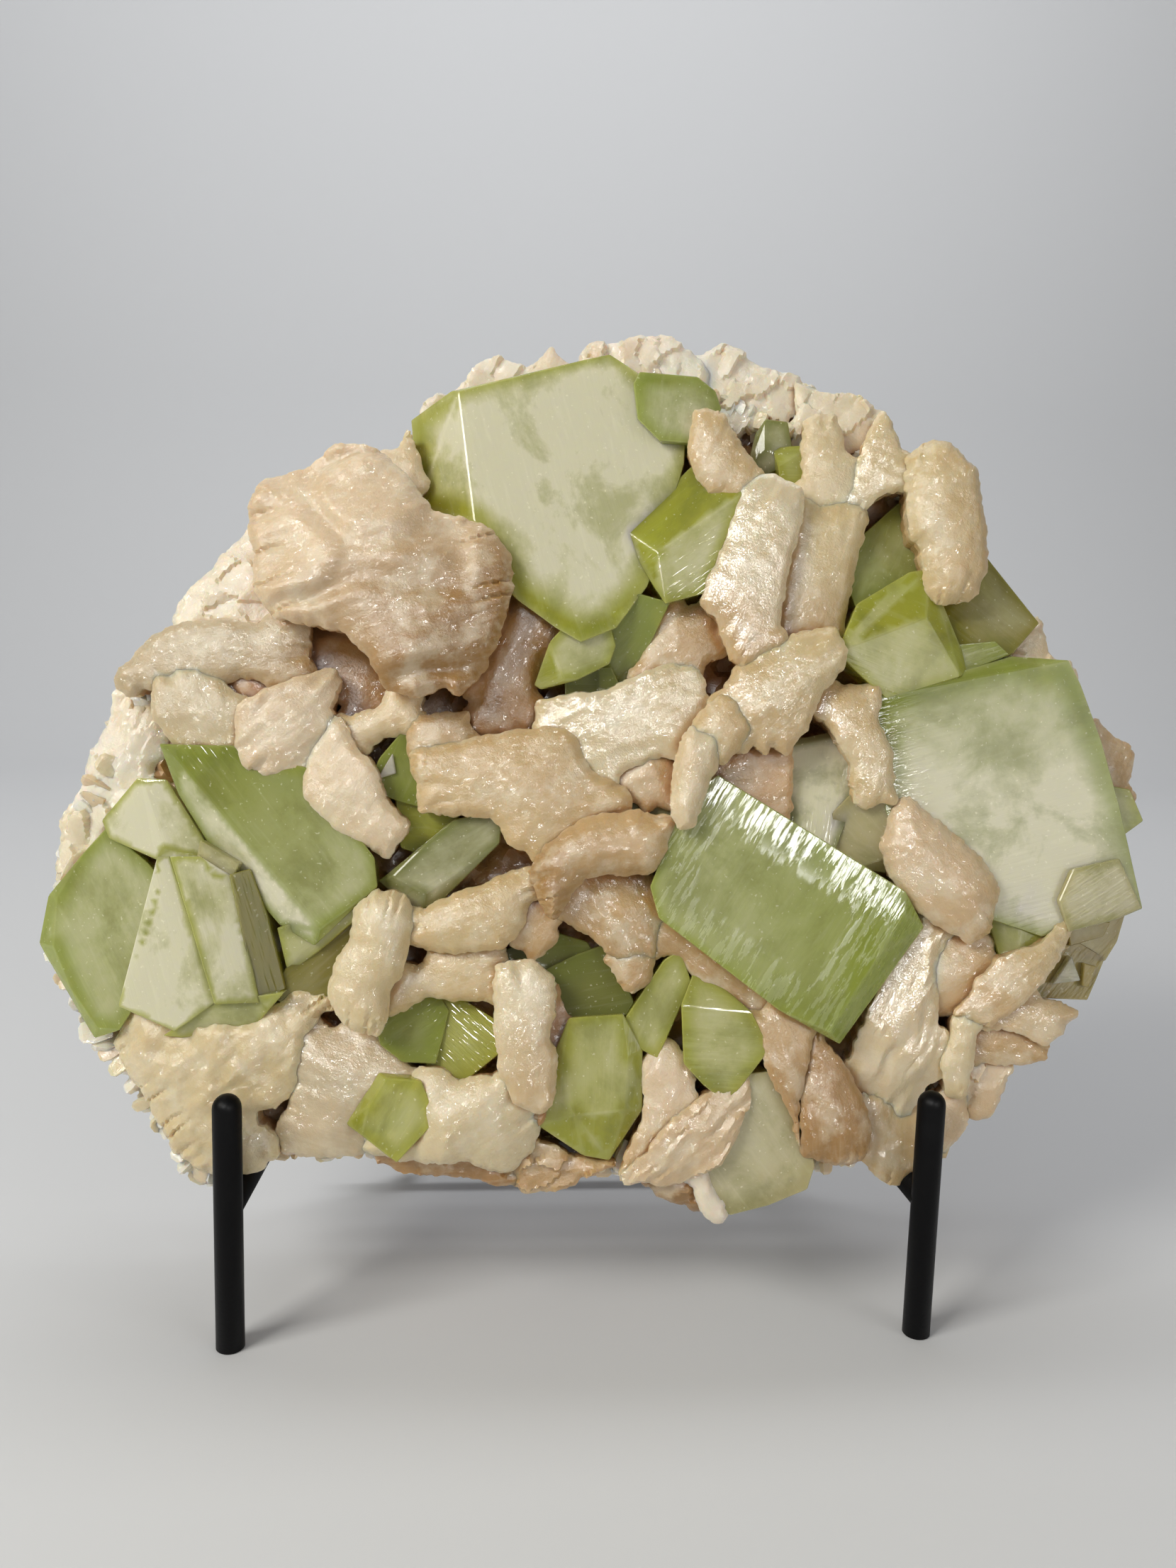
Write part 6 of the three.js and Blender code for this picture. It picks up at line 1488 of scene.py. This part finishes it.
def apophyllite_material():
    material, tree = new_material("apophyllite")
    leaf = attribute(tree, "tint", "Color")
    clear, milk_share, gap = look_of(tree)
    place = attribute(tree, "grain", "Vector")
    billow = noise_texture(tree, stretched(tree, place, BILLOW_STRETCH), detail=8.0, roughness=0.62,
                           distortion=0.3)
    wisps = noise_texture(tree, stretched(tree, place, WISP_STRETCH), detail=3.0, distortion=0.6)
    specks = noise_texture(tree, place, SPECK_SCALE, detail=1.0)
    ripple = noise_texture(tree, stretched(tree, place, RIPPLE_STRETCH))
    puffs = plus(tree, layered(tree, billow, *MILK_PUFFS), MILK_LEVEL)
    milk = times(tree, milk_share, puffs, clamp=True)
    flecks_and_glints = layered(tree, specks, *FLECKS_AND_GLINTS)
    # Painted highlights: pale lines along the edges, and pale flecks that stand partly for glints.
    ridge_highlight = layered(tree, gap, *RIDGE_HIGHLIGHT)
    veils_and_highlights = maths(tree, "MAXIMUM", layered(tree, wisps, *VEIL_WISPS), maths(tree, "MAXIMUM", ridge_highlight, flecks_and_glints))
    body = mixed(tree, layered(tree, billow, *MOSS_SHADE), leaf, MOSS)
    body = mixed(tree, milk, body, MILK)
    body = mixed(tree, veils_and_highlights, body, VEIL)
    # Etched patches along the growth lines blur what the face mirrors.
    etch = noise_texture(tree, stretched(tree, place, ETCH_STRETCH), detail=5.0, roughness=0.65)
    patches = times(tree, ramp(tree, etch, *ETCHED), ramp(tree, gap, *ETCHED_GAP))
    patches = times(tree, patches, ramp(tree, clear, *ETCHED_CLEAR))
    shut = plus(tree, times(tree, milk, MILK_COVER), veils_and_highlights, clamp=True)
    absorb = add(tree, "ShaderNodeVolumeAbsorption", {"Color": rgba(ABSORBED), "Density": ABSORB_DENSITY})
    surfaced(tree, {
        "Base Color": body,
        "Roughness": plus(tree, POLISHED, times(tree, patches, ETCHED_ROUGHER)),
        "IOR": 1.536,
        "Transmission Weight": times(tree, clear, maths(tree, "SUBTRACT", 1.0, shut)),
        "Subsurface Weight": 0.5,
        "Subsurface Radius": (0.9, 1.0, 0.5),
        "Subsurface Scale": 5.0 * MM,
        "Normal": bumped(tree, ripple, strength=0.4, distance=0.25),
    }, Volume=absorb.outputs["Volume"])
    return material


# Basalt: its colours, and the noise values of its grey patches and pale specks.
BASALT_DARK = (0.055, 0.04, 0.044)
BASALT_GREY = (0.14, 0.105, 0.105)
BASALT_SPECK = (0.5, 0.45, 0.38)
BASALT_PATCHES = (0.35, 0.7)
BASALT_SPECKS = (0.16, 0.05, 0.35)


def basalt_material():
    material, tree = new_material("basalt")
    place = place_on(tree)
    specks = add(tree, "ShaderNodeTexVoronoi", {"Vector": place, "Scale": 420.0}).outputs["Distance"]
    patches = ramp(tree, noise_texture(tree, place, scale=60.0, detail=8.0), *BASALT_PATCHES)
    colour = mixed(tree, patches, BASALT_DARK, BASALT_GREY)
    colour = mixed(tree, layered(tree, specks, *BASALT_SPECKS), colour, BASALT_SPECK)
    grain = noise_texture(tree, place, scale=900.0, detail=4.0)
    normal = bumped(tree, grain, strength=0.7, distance=0.4)
    surfaced(tree, {"Base Color": colour, "Roughness": 0.85, "Normal": normal})
    return material


# Stand: black coat, the dust on it, noise values at which dust starts and is full, and its roughness.
STEEL_BLACK = (0.003, 0.003, 0.0035)
STEEL_DUST = (0.008, 0.008, 0.009)
DUST = (0.5, 0.8)
STEEL_ROUGHNESS = (0.3, 0.55)


def steel_material():
    material, tree = new_material("stand")
    place = place_on(tree)
    smudge = noise_texture(tree, place, scale=45.0, detail=4.0)
    orange_peel = noise_texture(tree, place, scale=900.0)
    low, high = STEEL_ROUGHNESS
    rough = add(tree, "ShaderNodeMapRange", {"Value": smudge, "To Min": low, "To Max": high})
    surfaced(tree, {
        "Base Color": mixed(tree, ramp(tree, smudge, *DUST), STEEL_BLACK, STEEL_DUST),
        "Roughness": rough.outputs["Result"],
        "Specular IOR Level": 0.1,
        "Normal": bumped(tree, orange_peel, strength=0.3, distance=0.12),
    })
    return material


FLOOR_COLOUR = (0.70, 0.715, 0.74)


def floor_material():
    material, tree = new_material("studio_floor")
    surfaced(tree, {"Base Color": rgba(FLOOR_COLOUR), "Roughness": 0.85})
    return material


def finish_piece(piece, slot, *nodes):
    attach(piece, "root")
    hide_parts(*nodes)
    return piece


# Seeds of the blades and crystals go up by these steps.
FIRST_BLADE_SEED = 100
BLADE_SEED_STEP = 13
GROUP_SEED_STEP = 31


def stilbite_pieces():
    halves = {"left": Shell(), "right": Shell()}
    for number, (_, lift, tilt, grain, roll, depth, tones, outline, extra) in enumerate(BLADES):
        side = "left" if np.mean([p[0] for p in outline]) < 0 else "right"
        seed = FIRST_BLADE_SEED + number * BLADE_SEED_STEP
        blade(halves[side], seed, lift, tilt, grain, roll, depth, tones, outline, number, **extra)
    return [
        finish_piece(shell.build(f"stilbite_blades_{side}", materials["stilbite"]), "stilbite", "stilbite")
        for side, shell in halves.items()
    ]


CRUST_INSET = 4.0
# The crust lies in the recesses behind the blades, and its stain is partly painted shade.
CRUST = dict(seed=7, lift=-7, tilt=(0, 0), grain=30, roll=4, depth=27, tones=(PEACH, TAN), crown=0.5,
             spacing=1.8, lumps=1.6, flakes=1.1, stain=0.3, rim_white=0.9, inset=CRUST_INSET)


def crust_piece():
    shell = Shell()
    blade(shell, outline=CRUST_OUTLINE, **CRUST)
    return finish_piece(shell.build("stilbite_crust", materials["stilbite"]), "stilbite", "stilbite")


# Small plate of the rim: shares of its length, width and thickness from its foot to its tip, its corners
# round the middle, how much darker its foot is, and its gloss.
PLATE_PROFILE = ((-0.3, 0.7, 0.9), (0.45, 1.0, 1.0), (0.85, 0.85, 0.8), (1.0, 0.45, 0.3))
PLATE_CORNERS = ((-1, -1), (1, -1), (1, 1), (-1, 1))
PLATE_FOOT_DARKENING = 0.12
PLATE_GLOSS = 0.35
GRAIN_SHIFTS = 97


def plate(shell, seed, place, direction, side, length, width, thick, tone):
    """Small flat crystal with a wedge end, growing from a place in a direction."""
    forward = np.array(direction, float) / np.linalg.norm(direction)
    across = np.array(side, float) - forward * np.dot(side, forward)
    across /= np.linalg.norm(across)
    normal = np.cross(forward, across)
    rows = []
    for along, wide, deep in PLATE_PROFILE:
        centre = np.array(place) + forward * length * along
        for a, b in PLATE_CORNERS:
            rows.append(centre + across * (a * wide * width / 2) + normal * (b * deep * thick / 2))
    places = np.array(rows)
    count, sides = len(places), len(PLATE_CORNERS)
    faces = [tuple(reversed(range(sides))), tuple(range(count - sides, count))]
    for first in range(0, count - sides, sides):
        for i in range(sides):
            a, b = first + i, first + (i + 1) % sides
            faces.append((a, b, b + sides, a + sides))
    stain = np.zeros(count)
    stain[:sides] = PLATE_FOOT_DARKENING
    looks = np.column_stack([np.full(count, PLATE_GLOSS), stain, np.zeros(count)])
    away = places - place
    grains = np.column_stack([away @ forward, away @ across + seed % GRAIN_SHIFTS, away @ normal])
    shell.add(places, faces, np.tile(np.array(tone), (count, 1)), looks, grains)


# The rim's small plates: spacing, rows from the front to the back, lift of the first row and step down.
DRUSE_SPACING = 2.1
DRUSE_LAYERS = 4
DRUSE_LIFT = -9.0
DRUSE_STEP = 7.0
DRUSE_UNEVEN = 2.5
DRUSE_LENGTHS = (4.0, 7.5)
DRUSE_WIDTHS = (0.6, 1.0)
DRUSE_THICKNESSES = (1.0, 2.2)
DRUSE_TONES = (WHITE, PALE, PINK, WHITE)
# How far in from the crust's rim a plate starts: share of its length, step for each row, random part.
DRUSE_INSET = 0.75
DRUSE_ROW_INSET = 1.4
DRUSE_RANDOM_INSET = 2.0
# Spread of the plates' directions in the face, their range out of it, and the spread of their turn.
DRUSE_SPREAD = 0.3
DRUSE_RISE = (-0.4, 0.5)
DRUSE_TURN = 0.7


def rim_druse():
    """Plates standing out of the crust's rim like leaves, in rows from the front to the back."""
    shell = Shell()
    rng = np.random.default_rng(5)
    line = curve_through(CRUST_OUTLINE[::-1], DRUSE_SPACING)
    near = 1 - face_out(0, 0, DRUSE_LIFT) / EYE_DISTANCE
    for i, (spot, normal) in enumerate(zip(line, outward(line))):
        for row in range(DRUSE_LAYERS):
            lift = DRUSE_LIFT - DRUSE_STEP * row + rng.uniform(-DRUSE_UNEVEN, DRUSE_UNEVEN)
            length = rng.uniform(*DRUSE_LENGTHS)
            inset = CRUST_INSET + length * DRUSE_INSET + row * DRUSE_ROW_INSET
            x, y = spot - normal * (inset + rng.uniform(0, DRUSE_RANDOM_INSET))
            lean_x, lean_y = rng.normal(0, DRUSE_SPREAD), rng.normal(0, DRUSE_SPREAD)
            direction = (normal[0] + lean_x, normal[1] + lean_y, rng.uniform(*DRUSE_RISE))
            side = (-normal[1], normal[0], rng.normal(0, DRUSE_TURN))
            tone = DRUSE_TONES[rng.integers(len(DRUSE_TONES))]
            width = length * rng.uniform(*DRUSE_WIDTHS)
            place = (x * near, y * near, face_out(x, y, lift))
            seed = i * DRUSE_LAYERS + row
            plate(shell, seed, place, direction, side, length, width, rng.uniform(*DRUSE_THICKNESSES), tone)
    piece = shell.build("stilbite_rim_druse", materials["stilbite"], smooth=False)
    return finish_piece(piece, "stilbite", "stilbite")


def apophyllite_pieces():
    made = []
    for number, (name, group) in enumerate(CRYSTALS):
        shell = Shell()
        for k, (lift, tilt, front, rim, looks) in enumerate(group):
            crystal(shell, number * GROUP_SEED_STEP + k, lift, tilt, front, rim, **looks)
        piece = shell.build(name + "_crystals", materials["apophyllite"], smooth=False)
        made.append(finish_piece(piece, "apophyllite", name))
    return made


# Share of the way back at which a lump of basalt begins to narrow.
LUMP_SHOULDER = 0.35
REMESH_SIZE = 2.0
REMESH_SMOOTHING = 6
# The basalt's surface: sizes and depths of its lumps and pits, where pits start, and how far it is drawn in.
STONE_LUMP_SIZE = 26
STONE_LUMPS = 1.5
PIT_SIZE = 7
PIT_RANGE = (0.35, 0.8)
PITS = 1.6
STONE_INSET = 2.0


def basalt_lumps():
    """Mesh of the lumps, each the convex body round three of its outlines."""
    body = bmesh.new()
    for lift, back, taper, outline in MATRIX_LUMPS:
        corners = np.array(outline, float)
        middle = box_middle(corners)
        near = 1 - face_out(middle[0], middle[1], lift) / EYE_DISTANCE
        rows = []
        for share, level in ((1, lift), (1, lift + (back - lift) * LUMP_SHOULDER), (1 - taper, back)):
            flat = middle + (corners - middle) * share
            rows.append(np.column_stack([flat * near, face_out(flat[:, 0], flat[:, 1], level)]))
        bmesh.ops.convex_hull(body, input=[body.verts.new(p) for p in to_row(np.vstack(rows))])
    bmesh.ops.delete(body, geom=[v for v in body.verts if not v.link_faces], context="VERTS")
    return mesh_of("basalt", body)


def basalt_piece():
    """The lumps joined by a voxel remesh, then roughened."""
    piece = linked("basalt_matrix", basalt_lumps())
    remesh = piece.modifiers.new("even", "REMESH")
    remesh.mode = "VOXEL"
    remesh.voxel_size = REMESH_SIZE * MM
    smooth = piece.modifiers.new("worn", "SMOOTH")
    smooth.iterations = REMESH_SMOOTHING
    graph = bpy.context.evaluated_depsgraph_get()
    mesh = bpy.data.meshes.new_from_object(piece.evaluated_get(graph))
    piece.modifiers.clear()
    piece.data = mesh
    places = read_vectors(mesh.vertices, "co")
    normals = read_vectors(mesh.vertices, "normal")
    lumps = layered_noise(places / MM, STONE_LUMP_SIZE, octaves=5, seed=3) * STONE_LUMPS
    pits = smoothstep(*PIT_RANGE, noise(places / MM, PIT_SIZE, seed=9)) * PITS
    places += normals * ((lumps - STONE_INSET - pits) * MM)[:, None]
    mesh.vertices.foreach_set("co", places.ravel())
    shade_smooth(mesh)
    mesh.materials.clear()
    mesh.materials.append(materials["basalt"])
    return finish_piece(piece, "basalt", "matrix")


# Stand, as in the part, from the floor midway between the front posts.
ROD_RADIUS = 4.0
BAR_RADIUS = 3.0
POST_HEIGHT = 75.0
POST_HALF_SPACING = 99.6
ARM_TOP = 46.0
ARM_END_Y = 73.5
ARM_TOE_IN = 4.0
UPRIGHT_TOP_Z = 172.0
UPRIGHT_LEAN = math.radians(12.5)
UPRIGHT_TOE_IN = 10.0
REAR_FOOT = (55.0, 104.0)
CROSS_BAR_HIGH_Z = 140.0
CROSS_BAR_LOW_Z = 18.0
CROSS_BAR_OVERHANG = 5.0
BAR_STAND_OFF = 0.4
ROD_SIDES = 36
BALL_STEPS = 7
# Bevel of a flat end, in shares of the radius.
ROD_BEVEL = 0.07

ARM_Z = ARM_TOP - ROD_RADIUS
ARM_END_X = POST_HALF_SPACING - ARM_TOE_IN
UPRIGHT_TOP_Y = ARM_END_Y + (UPRIGHT_TOP_Z - ARM_Z) * math.tan(UPRIGHT_LEAN)


def rod_end(radius, ball):
    """Distances from a rod's tip and radii there, of a flat or half-ball end."""
    if not ball:
        return [(0, 0), (0, radius * (1 - ROD_BEVEL)), (radius * ROD_BEVEL, radius)]
    turns = np.linspace(0, math.pi / 2, BALL_STEPS)
    return [(radius * (1 - math.cos(a)), radius * math.sin(a)) for a in turns]


def rod(name, start, end, radius, round_start=False, round_end=False):
    """Round rod between two places, with flat or half-ball ends, as a piece for its node."""
    start, end = Vector(start), Vector(end)
    length = (end - start).length
    axis = (end - start).normalized()
    side = axis.orthogonal().normalized()
    other = axis.cross(side)
    profile = rod_end(radius, round_start)
    profile += [(length - along, around) for along, around in reversed(rod_end(radius, round_end))]
    turns = [2 * math.pi * i / ROD_SIDES for i in range(ROD_SIDES)]
    body = bmesh.new()
    rings = []
    for along, around in profile:
        centre = start + axis * along
        rings.append([body.verts.new(centre + side * (around * math.cos(a)) + other * (around * math.sin(a)))
                      for a in (turns if around else turns[:1])])
    for ring, following in zip(rings, rings[1:]):
        for i in range(ROD_SIDES):
            j = (i + 1) % ROD_SIDES
            corners = [ring[i % len(ring)], ring[j % len(ring)], following[j % len(following)],
                       following[i % len(following)]]
            body.faces.new(list(dict.fromkeys(corners)))
    bmesh.ops.recalc_face_normals(body, faces=body.faces[:])
    shift = Vector((-WHOLE_MIDDLE[0], -WHOLE_MIDDLE[1], 0))
    for vertex in body.verts:
        vertex.co = (vertex.co + shift) * MM
    mesh = mesh_of(name, body)
    shade_smooth(mesh)
    mesh.materials.append(materials["stand"])
    finish_piece(linked(name + "_rod", mesh), "stand", name)


def cross_bar(name, z, far_x, far_y, far_z):
    """Bar behind a pair of rods that go from the arms' ends to the far places."""
    share = (z - ARM_Z) / (far_z - ARM_Z)
    reach = ARM_END_X + (far_x - ARM_END_X) * share + CROSS_BAR_OVERHANG
    y = ARM_END_Y + (far_y - ARM_END_Y) * share + ROD_RADIUS + BAR_RADIUS + BAR_STAND_OFF
    rod(name, (-reach, y, z), (reach, y, z), BAR_RADIUS)


def stand_pieces():
    for side_name, side in (("left", -1), ("right", 1)):
        post_x = side * POST_HALF_SPACING
        corner = (side * ARM_END_X, ARM_END_Y, ARM_Z)
        top = (side * (ARM_END_X - UPRIGHT_TOE_IN), UPRIGHT_TOP_Y, UPRIGHT_TOP_Z)
        foot = (side * REAR_FOOT[0], REAR_FOOT[1], ROD_RADIUS)
        rod("post_" + side_name, (post_x, 0, 0), (post_x, 0, POST_HEIGHT), ROD_RADIUS, round_end=True)
        rod("arm_" + side_name, (post_x, 0, ARM_Z), corner, ROD_RADIUS)
        rod("upright_" + side_name, corner, top, ROD_RADIUS, round_start=True)
        rod("leg_" + side_name, corner, foot, ROD_RADIUS, round_end=True)
    cross_bar("cross_bar_high", CROSS_BAR_HIGH_Z, ARM_END_X - UPRIGHT_TOE_IN, UPRIGHT_TOP_Y, UPRIGHT_TOP_Z)
    cross_bar("cross_bar_low", CROSS_BAR_LOW_Z, REAR_FOOT[0], REAR_FOOT[1], 0)


# Camera: a phone's wide lens, straight in front of the face frame.
LENS = 27.03
SENSOR = 36.0
CLIP_START = 0.01


def photo_camera():
    data = bpy.data.cameras.new("camera")
    data.lens = LENS
    data.sensor_width = SENSOR
    data.clip_start = CLIP_START
    camera = linked("camera", data)
    eye = FACE @ Matrix.Translation((0, 0, EYE_DISTANCE))
    eye.translation *= MM
    camera.matrix_world = eye
    bpy.context.scene.camera = camera


# Studio, in metres: the floor's front edge, where it bends up to a wall, the bend's radius and angles, the
# wall's top, half the width, and the pale light from all around.
FLOOR_FRONT = -2.5
FLOOR_BEND = 1.2
BEND_RADIUS = 0.6
BEND_ANGLES = np.linspace(0.1, math.pi / 2, 12)
WALL_TOP = 3.0
FLOOR_HALF_WIDTH = 3.0
WORLD_COLOUR = (1.0, 0.98, 0.95)
WORLD_STRENGTH = 0.2

# Lights: name, place, what it points at, width and height, power, colour, turn about its own axis, and
# whether it lights matt surfaces or only shows as a reflection.
LIGHTS = (
    ("window", (-0.95, -0.7, 0.9), (0, 0, 0.16), (0.6, 0.5), 12.2, (1.0, 0.97, 0.89), 0, True),
    ("fill", (0.9, -0.9, 0.5), (0, 0, 0.16), (0.7, 0.7), 2.5, (1.0, 0.975, 0.92), 0, True),
    ("strip", (0.405, -1.1, 0.479), (0.05, 0, 0.13), (0.34, 0.2), 5.0, (1.0, 1.0, 1.0), -37, False),
    ("sparkle", (-0.35, -1.0, 0.75), (0, 0, 0.16), (0.25, 0.25), 10.0, (1.0, 1.0, 1.0), 0, False),
    ("backdrop", (0, 0.5, 1.9), (0, 1.8, 0.5), (2.4, 0.5), 18.0, (1.0, 1.0, 1.0), 0, True),
)


def studio_floor():
    """Pale floor that curves up to a wall behind the object."""
    profile = [(FLOOR_FRONT, 0.0), (FLOOR_BEND, 0.0)]
    profile += [(FLOOR_BEND + BEND_RADIUS * math.sin(a), BEND_RADIUS - BEND_RADIUS * math.cos(a))
                for a in BEND_ANGLES]
    profile.append((FLOOR_BEND + BEND_RADIUS, WALL_TOP))
    places = [(x, y, z) for y, z in profile for x in (-FLOOR_HALF_WIDTH, FLOOR_HALF_WIDTH)]
    faces = [(2 * i, 2 * i + 1, 2 * i + 3, 2 * i + 2) for i in range(len(profile) - 1)]
    mesh = bpy.data.meshes.new("studio_floor")
    mesh.from_pydata(places, [], faces)
    shade_smooth(mesh)
    mesh.materials.append(floor_material())
    floor = linked("studio_floor", mesh)


def surround():
    """Pale light from all around."""
    world = bpy.data.worlds.new("studio")
    world.use_nodes = True
    background = world.node_tree.nodes["Background"]
    background.inputs["Color"].default_value = rgba(WORLD_COLOUR)
    background.inputs["Strength"].default_value = WORLD_STRENGTH
    bpy.context.scene.world = world


def lamps():
    for name, place, target, size, power, colour, roll, on_matt in LIGHTS:
        data = bpy.data.lights.new(name, "AREA")
        data.shape = "RECTANGLE"
        data.size, data.size_y = size
        data.energy = power
        data.color = colour
        lamp = linked(name, data)
        lamp.location = place
        aim = (Vector(target) - Vector(place)).to_track_quat("-Z", "Y")
        lamp.rotation_euler = (aim.to_matrix() @ Matrix.Rotation(math.radians(roll), 3, "Z")).to_euler()
        lamp.visible_diffuse = on_matt


materials = {
    "stilbite": stilbite_material(),
    "apophyllite": apophyllite_material(),
    "basalt": basalt_material(),
    "stand": steel_material(),
}
photo_camera()
studio_floor()
surround()
lamps()
stand_pieces()
basalt = basalt_piece()
stilbite = [crust_piece(), rim_druse(), *stilbite_pieces()]
apophyllite = apophyllite_pieces()
paint_crevice_shade(stilbite, [basalt, *apophyllite])

bpy.context.scene.view_settings.view_transform = "Standard"
